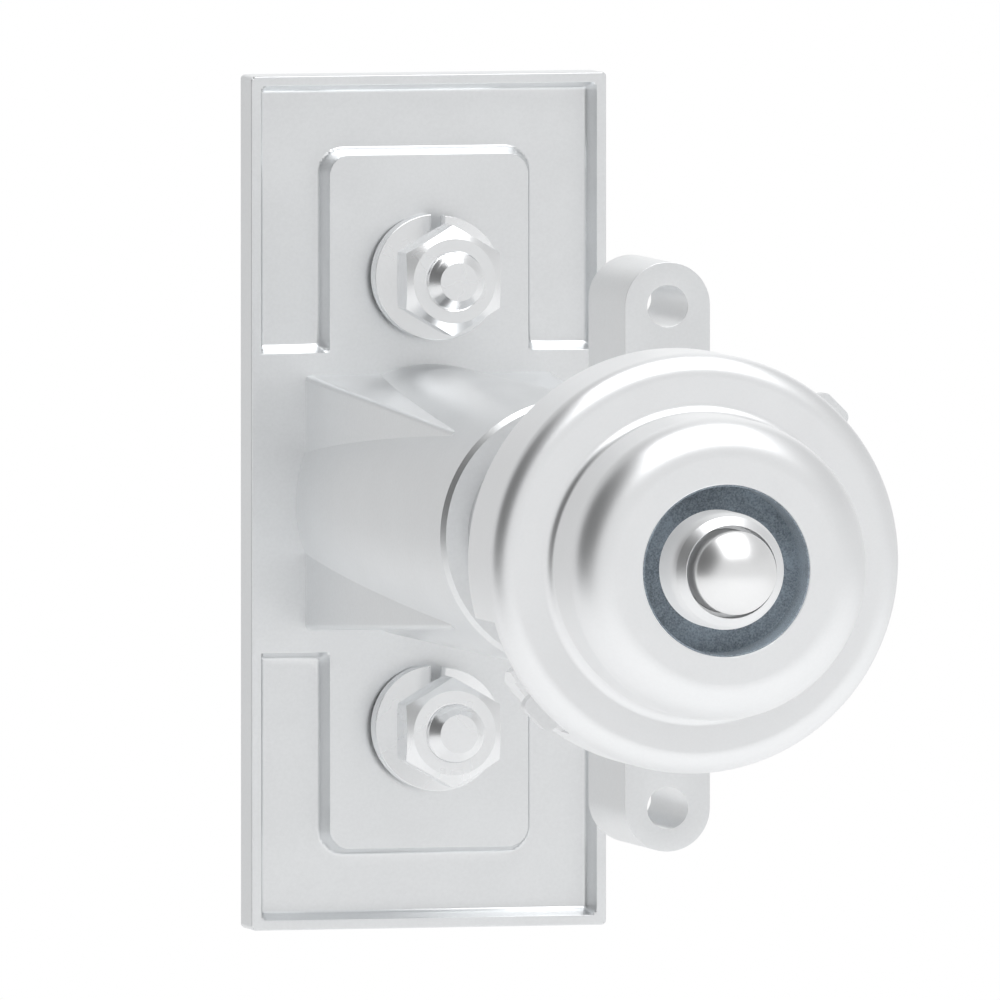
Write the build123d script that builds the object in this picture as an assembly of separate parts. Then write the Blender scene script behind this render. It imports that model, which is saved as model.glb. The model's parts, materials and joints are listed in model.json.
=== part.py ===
from build123d import *
from math import atan, cos, degrees, radians, sin, sqrt, tan
import os

# Pop-out T-handle lock, in millimetres.
# Every piece is drawn lying on its back: x to the right, y up the plate and z out of the plate's back
# face towards the hand. The finished pieces are then stood up, so that z becomes -Y and y becomes +Z.

# Plate
plate_width = 38.1
plate_height = 89.0
plate_thickness = 4.6
plate_corner_r = 0.5
plate_edge_r = 0.35
rim_width = 1.0
recess_depth = 2.4
recess_draft = 14.0
recess_corner_r = 0.9
recess_edge_r = 0.3
band_half_height = 15.55
pad_half_width = 10.6
pad_reach = 36.1
pad_corner_r = 2.0

# Hub, square at its root and round at its end
hub_length = 60.6
hub_root_r = 14.3
hub_end_r = 14.05
hub_chamfer = 0.5
web_root_half = 13.3
web_end = 49.5
web_edge_r = 0.8

# Studs, split washers and nuts
stud_spacing = 47.0
stud_r = 3.0
stud_length = 12.8
stud_chamfer = 1.0
stud_head_r = 4.6
stud_head_thickness = 1.6
stud_head_sink = 0.1
washer_outer_r = 6.5
washer_bore_clearance = 0.3
washer_thickness = 2.1
washer_rise = 3.6
washer_split_deg = 10.0
nut_across_flats = 10.0
nut_thickness = 5.15
nut_face_r = 4.4
nut_chamfer_deg = 30.0

# Bearings and turning sleeve
bush_wall = 1.25
bush_length = 14.0
sleeve_r = 9.5
sleeve_flange_r = 11.2
sleeve_flange_thickness = 1.5
sleeve_bore_r = 8.0
sleeve_step = 44.0
sleeve_rear_sink = 0.4
thrust_washer_thickness = 0.4
circlip_thickness = 1.0
circlip_groove_depth = 0.8
circlip_rim = 2.5
circlip_gap_deg = 40.0
circlip_well_clearance = 0.6
plug_length = 12.0
socket_across_flats = 8.0
socket_depth = 9.0

# Shank, its stop collar and the springs
shank_across_flats = 11.0
shank_corner_r = 1.0
shank_bore_depth = 50.0
shank_tail_r = 4.0
shank_tail_length = 6.4
stop_collar_thickness = 4.0
tail_circlip_thickness = 1.0
tail_circlip_groove = 0.6
tail_circlip_rim = 1.9
pop_spring_wire = 1.0
pop_spring_r = 6.4
pop_spring_turns = 7.0

# Handle bar
bar_gap = 1.4
bar_depth = 15.0
arm_width = 8.94
arm_hole_spacing = 51.25
arm_hole_r = 2.14
bar_edge_r = 0.4
boss_r = 16.0
spigot_clearance = 0.7
socket_floor = 16.0
spring_well_depth = 5.9
lug_protrusion = 1.05
lug_width = 4.1
lug_thickness = 1.6
lug_corner_r = 0.9
lug_root_sink = 1.8
lug_seat_sweep = 8.5
grub_r = 2.0
grub_length = 6.4
grub_key = 2.0
grub_key_depth = 2.2
grub_depth = 8.0

# Stepped cap
skirt_r = 21.45
skirt_wall = 1.85
skirt_gap = 1.6
skirt_height = 11.2
shoulder_wall = 1.85
shoulder_edge_r = 2.3
shoulder_root_r = 1.0
crown_r = 15.45
crown_wall = 2.45
crown_height = 11.2
crown_edge_r = 3.9
crown_opening_r = 8.76
crown_front_wall = 1.9
notch_start = 195.7
notch_sweep = 15.4
notch_lead_in = 4.0
notch_lead_depth = 3.6
slot_sweep = 37.8
slot_ledge_height = 4.6
slot_width = 3.4
slot_nub_sweep = 3.4
slot_nub_height = 1.2

# Buffer ring, collar and button
buffer_outer_r = 12.9
collar_r = 6.2
collar_flange_r = 12.4
collar_flange_thickness = 2.55
collar_shoulder_sink = 0.8
collar_nose_r = 3.0
collar_crease_r = 5.6
collar_nose_height = 1.9
collar_bevel_height = 0.9
collar_mouth_r = 4.68
collar_mouth_depth = 2.4
button_r = 4.25
button_edge_height = 3.8
button_dome = 2.3
button_flange_r = 5.0
button_flange_thickness = 1.4
button_stop_sink = 5.4
button_root_r = 2.0
button_root_length = 5.0
button_spring_wire = 0.6
button_spring_r = 4.15
button_spring_turns = 6.0

# Plunger, balls and travels
plunger_r = 3.2
plunger_waist_r = 1.35
plunger_cam_length = 2.0
plunger_ramp = 1.3
plunger_cam_place = 10.5
ball_r = 2.0
ball_place = 16.0
ball_sink = 0.05
pop_travel = 20.0
button_travel = 2.5

# Fits
running_clearance = 0.05
sliding_clearance = 0.1
seat_clearance = 0.05
thread_clearance = 0.05
press_clearance = 0.01
cut_overrun = 1.0


def out(depth):
    """Height above the plate's back of a point this far out from the plate's front face."""
    return plate_thickness + depth


def tube(outer_r, inner_r, start, end):
    """Plain ring about the lock's axis between two heights."""
    ring = Circle(outer_r) - Circle(inner_r)
    return Pos(0, 0, start) * extrude(ring, end - start)


def rod(radius, start, end):
    """Plain round bar about the lock's axis between two heights."""
    return Pos(0, 0, start) * extrude(Circle(radius), end - start)


def turned(points, radii=None):
    """Solid turned about the lock's axis from (radius, height) corners, rounded where radii say."""
    if radii is None:
        outline = Polyline(*points, close=True)
    else:
        outline = FilletPolyline(*points, radius=radii, close=True)
    return revolve(Plane.XZ * make_face(outline), Axis.Z)


def square_bar(across, corner_r, start, end):
    """Square bar with rounded corners between two heights."""
    return Pos(0, 0, start) * extrude(RectangleRounded(across, across, corner_r), end - start)


def coil(mean_r, wire, start, end, turns):
    """Open compression spring whose wire touches both heights."""
    rise = end - start - wire
    path = Helix(pitch=rise / turns, height=rise, radius=mean_r)
    section = Plane(origin=path @ 0, z_dir=path % 0) * Circle(wire / 2)
    return Pos(0, 0, start + wire / 2) * sweep(section, path, is_frenet=True)


def snap_ring(outer_r, inner_r, start, thickness, gap_deg):
    """Flat open ring with its gap towards -y."""
    reach = outer_r + cut_overrun
    half_gap = reach * tan(radians(gap_deg / 2))
    wedge = make_face(Polyline((0, 0), (-half_gap, -reach), (half_gap, -reach), close=True))
    return Pos(0, 0, start) * extrude(Circle(outer_r) - Circle(inner_r) - wedge, thickness)


# Sizes worked out from the ones above
washer_turn = 1 - washer_split_deg / 360
washer_height = washer_rise * washer_turn + washer_thickness
hub_front = out(hub_length)
bush_bore_r = sleeve_r + running_clearance
bush_outer_r = bush_bore_r + bush_wall
hub_bore_r = bush_outer_r + press_clearance
sleeve_groove_r = sleeve_r - circlip_groove_depth
circlip_outer_r = sleeve_groove_r + circlip_rim
circlip_well_r = circlip_outer_r + circlip_well_clearance
circlip_start = sleeve_rear_sink + circlip_groove_depth
circlip_well_depth = circlip_start + circlip_thickness + seat_clearance
thrust_start = hub_front + seat_clearance
flange_start = thrust_start + thrust_washer_thickness + seat_clearance
sleeve_front = flange_start + sleeve_flange_thickness
sleeve_square = shank_across_flats + 2 * sliding_clearance
stop_height = out(sleeve_step)
shank_shoulder = stop_height - seat_clearance
collar_top = shank_shoulder - seat_clearance
collar_bottom = collar_top - stop_collar_thickness
tail_groove_r = shank_tail_r - tail_circlip_groove
tail_groove_start = collar_bottom - seat_clearance - tail_circlip_thickness
plug_front = sleeve_rear_sink + plug_length
bar_rear = sleeve_front + pop_travel + bar_gap
bar_front = bar_rear + bar_depth
shank_end = bar_rear + socket_floor
skirt_back = bar_front + skirt_gap
skirt_inner_r = skirt_r - skirt_wall
shoulder_face = skirt_back + skirt_height
shoulder_inside = shoulder_face - shoulder_wall
crown_face = shoulder_face + crown_height
spigot_r = skirt_inner_r - spigot_clearance
spigot_front = shoulder_inside - seat_clearance
spring_floor = spigot_front - spring_well_depth
notch_end = notch_start + notch_sweep
slot_nub_end = notch_end + slot_nub_sweep
slot_end = notch_start + slot_sweep
lug_angle = slot_end - lug_seat_sweep
slot_ledge = skirt_back + slot_ledge_height
slot_front = slot_ledge + slot_width
lug_reach = skirt_r + lug_protrusion
shank_bore_r = plunger_r + sliding_clearance
flange_top = spigot_front + seat_clearance + collar_flange_thickness
crown_inside = crown_face - crown_front_wall
collar_shoulder = crown_face - collar_shoulder_sink
collar_crease = collar_shoulder + collar_nose_height
collar_front = collar_crease + collar_bevel_height
collar_mouth_floor = collar_front - collar_mouth_depth
button_edge = crown_face + button_edge_height
button_stop = crown_face - button_stop_sink
button_bore_r = button_r + running_clearance
button_well_r = button_flange_r + running_clearance
button_flange_top = button_stop - sliding_clearance
button_base = button_flange_top - button_flange_thickness
ball_height = stop_height + ball_place
plunger_end = stop_height + plunger_cam_place
ball_hole_r = ball_r + running_clearance
ball_centre = shank_across_flats / 2 - ball_sink - ball_r


def recess():
    """One U-shaped recess above the band, round the pad, with sloping walls, as a cutting tool."""
    inner_half = plate_width / 2 - rim_width
    top = plate_height / 2 - rim_width
    corners = [
        (-inner_half, band_half_height),
        (-inner_half, top),
        (inner_half, top),
        (inner_half, band_half_height),
        (pad_half_width, band_half_height),
        (pad_half_width, pad_reach),
        (-pad_half_width, pad_reach),
        (-pad_half_width, band_half_height),
    ]
    pad_radii = [recess_corner_r, pad_corner_r, pad_corner_r, recess_corner_r]
    outline = FilletPolyline(*corners, radius=[recess_corner_r] * 4 + pad_radii, close=True)
    mouth = Pos(0, 0, plate_thickness) * make_face(outline)
    return extrude(mouth, -recess_depth, taper=recess_draft)


def recess_mouths(slab):
    """Edges where the recesses meet the plate's front face."""
    across = plate_width / 2 - rim_width / 2
    along = plate_height / 2 - rim_width / 2
    level = slab.edges().filter_by_position(Axis.Z, plate_thickness - plate_edge_r / 2, plate_thickness)
    return level.filter_by_position(Axis.X, -across, across).filter_by_position(Axis.Y, -along, along)


def hub():
    """Round hub with slight draft, and the square web that tapers into it."""
    cone = turned(
        [
            (0, 0),
            (hub_root_r, 0),
            (hub_root_r, plate_thickness),
            (hub_end_r, hub_front - hub_chamfer),
            (hub_end_r - hub_chamfer, hub_front),
            (0, hub_front),
        ]
    )
    web_end_half = (hub_end_r + (sqrt(2) - 1) * web_edge_r) / sqrt(2)
    web_slope = (web_root_half - web_end_half) / web_end
    web_length = (hub_length + web_end) / 2
    root = Rectangle(2 * web_root_half, 2 * web_root_half)
    web = extrude(root, web_length, taper=degrees(atan(web_slope)))
    slants = web.edges().filter_by(lambda edge: abs((edge @ 0 - edge @ 1).Z) > web_length / 2)
    web = fillet(slants, web_edge_r)
    return cone + Pos(0, 0, plate_thickness) * web


def hub_plate():
    """Cast plate with its rim, recesses, stud holes and hub, bored through for the bearings."""
    slab = extrude(RectangleRounded(plate_width, plate_height, plate_corner_r), plate_thickness)
    slab = fillet(slab.faces().sort_by(Axis.Z)[-1].edges(), plate_edge_r)
    upper = recess()
    slab -= upper
    slab -= Rot(0, 0, 180) * upper
    slab = fillet(recess_mouths(slab), recess_edge_r)
    body = slab + hub()
    body -= rod(hub_bore_r, -cut_overrun, hub_front + cut_overrun)
    body -= rod(circlip_well_r, -cut_overrun, circlip_well_depth)
    for side in (1, -1):
        place = Pos(0, side * stud_spacing / 2, 0)
        body -= place * rod(stud_r + thread_clearance, -cut_overrun, plate_thickness + cut_overrun)
        body -= place * rod(stud_head_r + press_clearance, -cut_overrun, stud_head_sink + stud_head_thickness)
    return body


def stud(side):
    """Stud with a flush head in the plate's back and a chamfered tip."""
    tip = out(stud_length)
    head_top = stud_head_sink + stud_head_thickness
    body = turned(
        [
            (0, stud_head_sink),
            (stud_head_r, stud_head_sink),
            (stud_head_r, head_top),
            (stud_r, head_top),
            (stud_r, tip - stud_chamfer),
            (stud_r - stud_chamfer, tip),
            (0, tip),
        ]
    )
    return Pos(0, side * stud_spacing / 2, 0) * body


def lock_washer(side):
    """Split spring washer: a rectangular section carried along one turn of a helix, low end at the left."""
    inner_r = stud_r + washer_bore_clearance
    mean_r = (washer_outer_r + inner_r) / 2
    path = Helix(pitch=washer_rise, height=washer_rise * washer_turn, radius=mean_r)
    section = Plane(origin=path @ 0, x_dir=(1, 0, 0), z_dir=path % 0)
    section = section * Rectangle(washer_outer_r - inner_r, washer_thickness)
    body = sweep(section, path, is_frenet=True)
    low_end = 90 + washer_split_deg / 2
    lift = out(0) + washer_thickness / 2 + seat_clearance
    return Pos(0, side * stud_spacing / 2, lift) * Rot(0, 0, low_end) * body


def nut(side):
    """Hexagon nut with corners up and down and both ends chamfered round."""
    start = out(washer_height + 2 * seat_clearance)
    end = start + nut_thickness
    hexagon = RegularPolygon(nut_across_flats / 2, 6, major_radius=False, rotation=30)
    body = Pos(0, 0, start) * extrude(hexagon, nut_thickness)
    corner_r = nut_across_flats / sqrt(3)
    drop = (corner_r - nut_face_r) * tan(radians(nut_chamfer_deg))
    envelope = turned(
        [
            (0, start),
            (nut_face_r, start),
            (corner_r, start + drop),
            (corner_r, end - drop),
            (nut_face_r, end),
            (0, end),
        ]
    )
    body = body & envelope
    body -= rod(stud_r + thread_clearance, start - cut_overrun, end + cut_overrun)
    return Pos(0, side * stud_spacing / 2, 0) * body


def front_bush():
    """Bearing sleeve flush with the hub's end."""
    return tube(bush_outer_r, bush_bore_r, hub_front - bush_length, hub_front)


def rear_bush():
    """Bearing sleeve flush with the floor of the circlip's well."""
    return tube(bush_outer_r, bush_bore_r, circlip_well_depth, circlip_well_depth + bush_length)


def drive_sleeve():
    """Turning sleeve with a front flange, a square mouth, a round bore and a rear circlip groove."""
    body = turned(
        [
            (0, sleeve_rear_sink),
            (sleeve_r, sleeve_rear_sink),
            (sleeve_r, circlip_start),
            (sleeve_groove_r, circlip_start),
            (sleeve_groove_r, circlip_start + circlip_thickness),
            (sleeve_r, circlip_start + circlip_thickness),
            (sleeve_r, flange_start),
            (sleeve_flange_r, flange_start),
            (sleeve_flange_r, sleeve_front),
            (0, sleeve_front),
        ]
    )
    body -= rod(sleeve_bore_r, sleeve_rear_sink - cut_overrun, stop_height)
    corner_r = shank_corner_r + sliding_clearance
    return body - square_bar(sleeve_square, corner_r, stop_height - cut_overrun, sleeve_front + cut_overrun)


def thrust_washer():
    """Thin washer between the hub's end and the sleeve's flange."""
    return tube(sleeve_flange_r, bush_bore_r, thrust_start, thrust_start + thrust_washer_thickness)


def sleeve_circlip():
    """Open ring in the sleeve's rear groove."""
    inner_r = sleeve_groove_r + press_clearance
    thickness = circlip_thickness - 2 * press_clearance
    return snap_ring(circlip_outer_r, inner_r, circlip_start + press_clearance, thickness, circlip_gap_deg)


def sleeve_plug():
    """Plug that closes the sleeve's rear, with the square socket that drives the latch."""
    body = rod(sleeve_bore_r - press_clearance, sleeve_rear_sink, plug_front)
    pocket = extrude(Rectangle(socket_across_flats, socket_across_flats), socket_depth)
    return body - Pos(0, 0, sleeve_rear_sink) * pocket


def pop_out_spring():
    """Compression spring between the plug and the stop collar, round the shank's tail."""
    start = plug_front + seat_clearance
    return coil(pop_spring_r, pop_spring_wire, start, collar_bottom - seat_clearance, pop_spring_turns)


def handle_shank():
    """Square shank, bored for the plunger and cross-drilled for the balls, with a turned tail."""
    body = square_bar(shank_across_flats, shank_corner_r, shank_shoulder, shank_end)
    tail_end = shank_shoulder - shank_tail_length
    body += rod(shank_tail_r, tail_end, shank_shoulder)
    groove_end = tail_groove_start + tail_circlip_thickness
    body -= tube(shank_tail_r + cut_overrun, tail_groove_r, tail_groove_start, groove_end)
    body -= rod(shank_bore_r, shank_end - shank_bore_depth, shank_end + cut_overrun)
    cross = Rot(90, 0, 0) * extrude(Circle(ball_hole_r), shank_across_flats, both=True)
    return body - Pos(0, 0, ball_height) * cross


def shank_collar():
    """Stop collar on the shank's tail, which meets the step in the sleeve."""
    outer_r = sleeve_bore_r - sliding_clearance
    return tube(outer_r, shank_tail_r + press_clearance, collar_bottom, collar_top)


def shank_circlip():
    """Open ring that keeps the stop collar on the tail."""
    inner_r = tail_groove_r + press_clearance
    outer_r = tail_groove_r + tail_circlip_rim
    start = tail_groove_start + press_clearance
    return snap_ring(outer_r, inner_r, start, tail_circlip_thickness - 2 * press_clearance, circlip_gap_deg)


def lug():
    """Bayonet lug: a flat tab with rounded outer corners, drawn along +x."""
    root = spigot_r - lug_root_sink
    corners = [
        (root, -lug_width / 2),
        (lug_reach, -lug_width / 2),
        (lug_reach, lug_width / 2),
        (root, lug_width / 2),
    ]
    outline = FilletPolyline(*corners, radius=[0, lug_corner_r, lug_corner_r, 0], close=True)
    start = slot_ledge + seat_clearance
    return Pos(0, 0, start) * extrude(make_face(outline), lug_thickness)


def handle_bar():
    """T-shaped casting: two drilled arms, round boss, spigot for the cap and two bayonet lugs."""
    arms = extrude(SlotCenterToCenter(arm_hole_spacing, arm_width, rotation=90), bar_depth)
    body = Pos(0, 0, bar_rear) * arms + rod(boss_r, bar_rear, bar_front)
    body = fillet(body.faces().filter_by(Axis.Z).edges(), bar_edge_r)
    body += rod(spigot_r, bar_front, spigot_front)
    for turn in (0, 180):
        body += Rot(0, 0, lug_angle + turn) * lug()
    for side in (1, -1):
        drill = rod(arm_hole_r, bar_rear - cut_overrun, bar_front + cut_overrun)
        body -= Pos(0, side * arm_hole_spacing / 2, 0) * drill
    socket = shank_across_flats + 2 * press_clearance
    corner_r = shank_corner_r + press_clearance
    body -= square_bar(socket, corner_r, bar_rear - cut_overrun, shank_end)
    body -= rod(shank_bore_r, bar_rear, spigot_front + cut_overrun)
    body -= rod(button_well_r, spring_floor, spigot_front + cut_overrun)
    tapped = Rot(0, 90, 0) * extrude(Circle(grub_r + thread_clearance), boss_r + cut_overrun, both=True)
    return body - Pos(0, 0, bar_rear + grub_depth) * tapped


def grub_screw(side):
    """Socket set screw that runs in from the boss to a flat of the shank."""
    body = extrude(Circle(grub_r), grub_length)
    key = RegularPolygon(grub_key / 2, 6, major_radius=False)
    body -= Pos(0, 0, grub_length - grub_key_depth) * extrude(key, grub_key_depth)
    start = shank_across_flats / 2 + seat_clearance
    return Pos(side * start, 0, bar_rear + grub_depth) * Rot(0, 90 * side, 0) * body


def bayonet_slot():
    """Cutting tool for one L-shaped slot: a notch with a lead-in, then a slot with a nub before its seat."""
    middle = (notch_start + slot_end) / 2
    start, lip, nub, end = (
        skirt_r * sin(radians(angle - middle)) for angle in (notch_start, notch_end, slot_nub_end, slot_end)
    )
    mouth = skirt_r * sin(radians(notch_end + notch_lead_in - middle))
    below = skirt_back - cut_overrun
    corners = [
        (start, below),
        (start, slot_front),
        (end, slot_front),
        (end, slot_ledge),
        (nub, slot_ledge),
        (nub, slot_ledge + slot_nub_height),
        (lip, slot_ledge + slot_nub_height),
        (lip, skirt_back + notch_lead_depth),
        (mouth, skirt_back),
        (mouth, below),
    ]
    face = make_face(Polyline(*corners, close=True))
    direction = Vector(cos(radians(middle)), sin(radians(middle)), 0)
    sideways = Vector(-sin(radians(middle)), cos(radians(middle)), 0)
    inner_r = skirt_inner_r * cos(radians((slot_end - notch_start) / 2)) - cut_overrun
    plane = Plane(origin=direction * inner_r, x_dir=sideways, z_dir=direction)
    return extrude(plane * face, skirt_r)


def handle_cap():
    """Stepped cap turned in one piece, open at the crown, with two bayonet slots in its skirt."""
    crown_inner_r = crown_r - crown_wall
    corners = [
        (skirt_inner_r, skirt_back),
        (skirt_r, skirt_back),
        (skirt_r, shoulder_face),
        (crown_r, shoulder_face),
        (crown_r, crown_face),
        (crown_opening_r, crown_face),
        (crown_opening_r, crown_inside),
        (crown_inner_r, crown_inside),
        (crown_inner_r, shoulder_inside),
        (skirt_inner_r, shoulder_inside),
    ]
    radii = [0, 0, shoulder_edge_r, shoulder_root_r, crown_edge_r, 0, 0, 0, 0, 0]
    body = turned(corners, radii)
    for turn in (0, 180):
        body -= Rot(0, 0, turn) * bayonet_slot()
    return body


def buffer_ring():
    """Dark ring between the collar's flange and the crown, which loads the bayonet."""
    start = flange_top + seat_clearance
    return tube(buffer_outer_r, collar_r + seat_clearance, start, crown_inside - seat_clearance)


def guide_collar():
    """Flanged collar that guides the button, with a rounded and bevelled mouth."""
    base = spigot_front + seat_clearance
    nose = RadiusArc((collar_r, collar_shoulder), (collar_crease_r, collar_crease), -collar_nose_r)
    bore = Polyline(
        (collar_crease_r, collar_crease),
        (collar_mouth_r, collar_front),
        (collar_mouth_r, collar_mouth_floor),
        (button_bore_r, collar_mouth_floor),
        (button_bore_r, button_stop),
        (button_well_r, button_stop),
        (button_well_r, base),
        (collar_flange_r, base),
        (collar_flange_r, flange_top),
        (collar_r, flange_top),
        (collar_r, collar_shoulder),
    )
    return revolve(Plane.XZ * make_face(nose + bore), Axis.Z)


def push_button():
    """Domed button with a stop flange, drilled at its root for the plunger."""
    tip = button_edge + button_dome
    dome_r = (button_r**2 + button_dome**2) / (2 * button_dome)
    dome = RadiusArc((button_r, button_edge), (0, tip), -dome_r)
    side = Polyline(
        (0, tip),
        (0, button_base + button_root_length + seat_clearance),
        (button_root_r + press_clearance, button_base + button_root_length + seat_clearance),
        (button_root_r + press_clearance, button_base),
        (button_flange_r, button_base),
        (button_flange_r, button_flange_top),
        (button_r, button_flange_top),
        (button_r, button_edge),
    )
    return revolve(Plane.XZ * make_face(dome + side), Axis.Z)


def button_spring():
    """Compression spring between the spring well's floor and the button's flange."""
    start = spring_floor + seat_clearance
    end = button_base - seat_clearance
    return coil(button_spring_r, button_spring_wire, start, end, button_spring_turns)


def plunger():
    """Rod under the button: a cam at its end, a waist for the balls, and a root in the button."""
    cam_top = plunger_end + plunger_cam_length
    waist_start = cam_top + plunger_ramp
    waist_end = ball_height + ball_r + sliding_clearance + button_travel
    return turned(
        [
            (0, plunger_end),
            (plunger_r, plunger_end),
            (plunger_r, cam_top),
            (plunger_waist_r, waist_start),
            (plunger_waist_r, waist_end),
            (plunger_r, waist_end + plunger_ramp),
            (plunger_r, button_base - seat_clearance),
            (button_root_r, button_base - seat_clearance),
            (button_root_r, button_base + button_root_length),
            (0, button_base + button_root_length),
        ]
    )


def detent_ball(side):
    """Ball in the shank's cross hole, resting towards the plunger's waist."""
    return Pos(0, side * ball_centre, ball_height) * Sphere(ball_r)


pieces = {
    "hub_plate": hub_plate(),
    "upper_stud": stud(1),
    "lower_stud": stud(-1),
    "upper_lock_washer": lock_washer(1),
    "lower_lock_washer": lock_washer(-1),
    "upper_nut": nut(1),
    "lower_nut": nut(-1),
    "front_bush": front_bush(),
    "rear_bush": rear_bush(),
    "drive_sleeve": drive_sleeve(),
    "thrust_washer": thrust_washer(),
    "sleeve_circlip": sleeve_circlip(),
    "sleeve_plug": sleeve_plug(),
    "pop_out_spring": pop_out_spring(),
    "handle_shank": handle_shank(),
    "shank_collar": shank_collar(),
    "shank_circlip": shank_circlip(),
    "handle_bar": handle_bar(),
    "left_grub_screw": grub_screw(-1),
    "right_grub_screw": grub_screw(1),
    "handle_cap": handle_cap(),
    "buffer_ring": buffer_ring(),
    "guide_collar": guide_collar(),
    "push_button": push_button(),
    "button_spring": button_spring(),
    "plunger": plunger(),
    "upper_detent_ball": detent_ball(1),
    "lower_detent_ball": detent_ball(-1),
}

os.makedirs("parts", exist_ok=True)
for name, piece in pieces.items():
    export_step(Rot(90, 0, 0) * piece, f"parts/{name}.step")
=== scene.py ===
import json
import math

import bmesh
import bpy
import numpy as np
from bpy.props import FloatProperty, FloatVectorProperty, PointerProperty
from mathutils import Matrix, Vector

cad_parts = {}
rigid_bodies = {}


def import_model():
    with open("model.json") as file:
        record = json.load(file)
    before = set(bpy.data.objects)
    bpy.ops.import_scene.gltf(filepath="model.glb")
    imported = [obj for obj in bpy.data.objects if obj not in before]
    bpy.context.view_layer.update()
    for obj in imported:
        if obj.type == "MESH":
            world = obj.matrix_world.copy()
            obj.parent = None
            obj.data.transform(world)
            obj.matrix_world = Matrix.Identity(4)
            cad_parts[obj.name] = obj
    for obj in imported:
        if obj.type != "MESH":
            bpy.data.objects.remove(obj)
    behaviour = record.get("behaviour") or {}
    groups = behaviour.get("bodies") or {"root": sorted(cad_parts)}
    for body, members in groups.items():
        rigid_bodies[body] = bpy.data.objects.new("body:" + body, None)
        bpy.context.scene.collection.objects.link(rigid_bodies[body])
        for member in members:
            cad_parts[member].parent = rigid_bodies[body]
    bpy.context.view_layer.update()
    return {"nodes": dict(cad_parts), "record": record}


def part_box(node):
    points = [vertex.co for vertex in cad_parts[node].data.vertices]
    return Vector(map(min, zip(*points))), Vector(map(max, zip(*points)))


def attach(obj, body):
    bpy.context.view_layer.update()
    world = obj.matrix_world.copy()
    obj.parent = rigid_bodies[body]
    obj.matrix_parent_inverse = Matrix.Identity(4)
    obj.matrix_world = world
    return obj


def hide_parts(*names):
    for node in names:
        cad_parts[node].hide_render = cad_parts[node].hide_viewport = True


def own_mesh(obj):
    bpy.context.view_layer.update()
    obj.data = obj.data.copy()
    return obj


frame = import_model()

bl_info = {
    "name": "Pop-out T-handle lock",
    "version": (1, 0, 0),
    "blender": (4, 5, 0),
    "location": "View3D > Sidebar > Lock",
    "description": "Builds the visible surfaces and finishes of a pop-out T-handle lock",
    "category": "Add Mesh",
}

MM = 0.001
SHARP_ANGLE = math.radians(14)  # faces that turn by more than this meet in a sharp edge
MERGE_DISTANCE = 1e-7  # points nearer than this are one point
STRAIGHT_COSINE = -0.999999  # below this cosine, two edges at a point run straight on
FIT_GAP = 0.02 * MM  # gap round a piece that fits closely in a hole
SEAT_GAP = 0.05 * MM  # gap between a piece and what it rests on
BEYOND = 1 * MM  # how far a cutting shape reaches past the surface that it cuts
HALF_TURNS = (0, math.pi)  # turns from the first bayonet lug or slot to each of the two


def length(name, description, default_mm):
    """Property for a length, with its default given in millimetres."""
    settings = {"default": default_mm * MM, "unit": "LENGTH", "precision": 5}
    return FloatProperty(name=name, description=description, **settings)


def position(name, description, default_mm):
    """Property for a point, with its default given in millimetres."""
    settings = {"default": [value * MM for value in default_mm], "unit": "LENGTH", "precision": 5}
    return FloatVectorProperty(name=name, description=description, size=3, **settings)


def degrees(name, description, default_degrees):
    """Property for an angle, with its default given in degrees."""
    settings = {"default": math.radians(default_degrees), "subtype": "ANGLE"}
    return FloatProperty(name=name, description=description, **settings)


def number(name, description, default, unit="NONE"):
    """Property for a plain number."""
    return FloatProperty(name=name, description=description, default=default, unit=unit)


def colour(name, description, default):
    """Property for a linear colour."""
    settings = {"default": default, "subtype": "COLOR", "min": 0, "max": 1}
    return FloatVectorProperty(name=name, description=description, **settings)


def share(name, description, default):
    """Property for a share between 0 and 1."""
    settings = {"default": default, "subtype": "FACTOR", "min": 0, "max": 1}
    return FloatProperty(name=name, description=description, **settings)


class PlateSizes(bpy.types.PropertyGroup):
    """Sizes of the cast plate and its hub."""

    thickness: length("Plate thickness", "Thickness of the plate at its rim", 4.6)
    corner_r: length("Plate corner", "Radius of the plate's corners", 0.5)
    edge_r: length("Plate edge", "Radius of the plate's front edge", 0.14)
    rim: length("Rim width", "Width of the raised rim", 1.0)
    recess_depth: length("Recess depth", "Depth of the recesses below the rim", 2.4)
    recess_mouth_r: length("Recess mouth", "Radius of the recess's mouth", 0.05)
    recess_floor_r: length("Recess fillet", "Radius between the recess's wall and its floor", 0.4)
    recess_draft: degrees("Recess draft", "Slant of the recess's walls", 14)
    recess_corner_r: length("Recess corner", "Radius of the recess corners in plan", 0.9)
    band_half: length("Band half height", "Half the height of the band behind the hub", 15.55)
    pad_half: length("Pad half width", "Half the width of the stud pads", 10.6)
    pad_reach: length("Pad reach", "Distance from the axis to the pads' far edges", 36.1)
    pad_corner_r: length("Pad corner", "Radius of the pads' corners", 2.0)
    hub_root_r: length("Hub root", "Radius of the hub at the plate", 14.3)
    hub_end_r: length("Hub end", "Radius of the hub at its end", 14.05)
    hub_chamfer: length("Hub chamfer", "Chamfer at the hub's end", 0.5)
    web_half: length("Web half width", "Half the width of the square web at the plate", 13.3)
    web_end: length("Web end", "Distance from the plate at which the web fades into the hub", 49.5)
    web_edge_r: length("Web edge", "Radius of the web's corner edges", 0.6)
    web_tip: length("Web tip", "How far the web's corners still stand out of the hub at their end", 0.1)
    bore_r: length("Hub bore", "Radius of the hub's bore", 10.81)
    well_r: length("Circlip well", "Radius of the well in the plate's back", 11.8)
    well_depth: length("Circlip well depth", "Depth of the well in the plate's back", 2.25)


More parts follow.
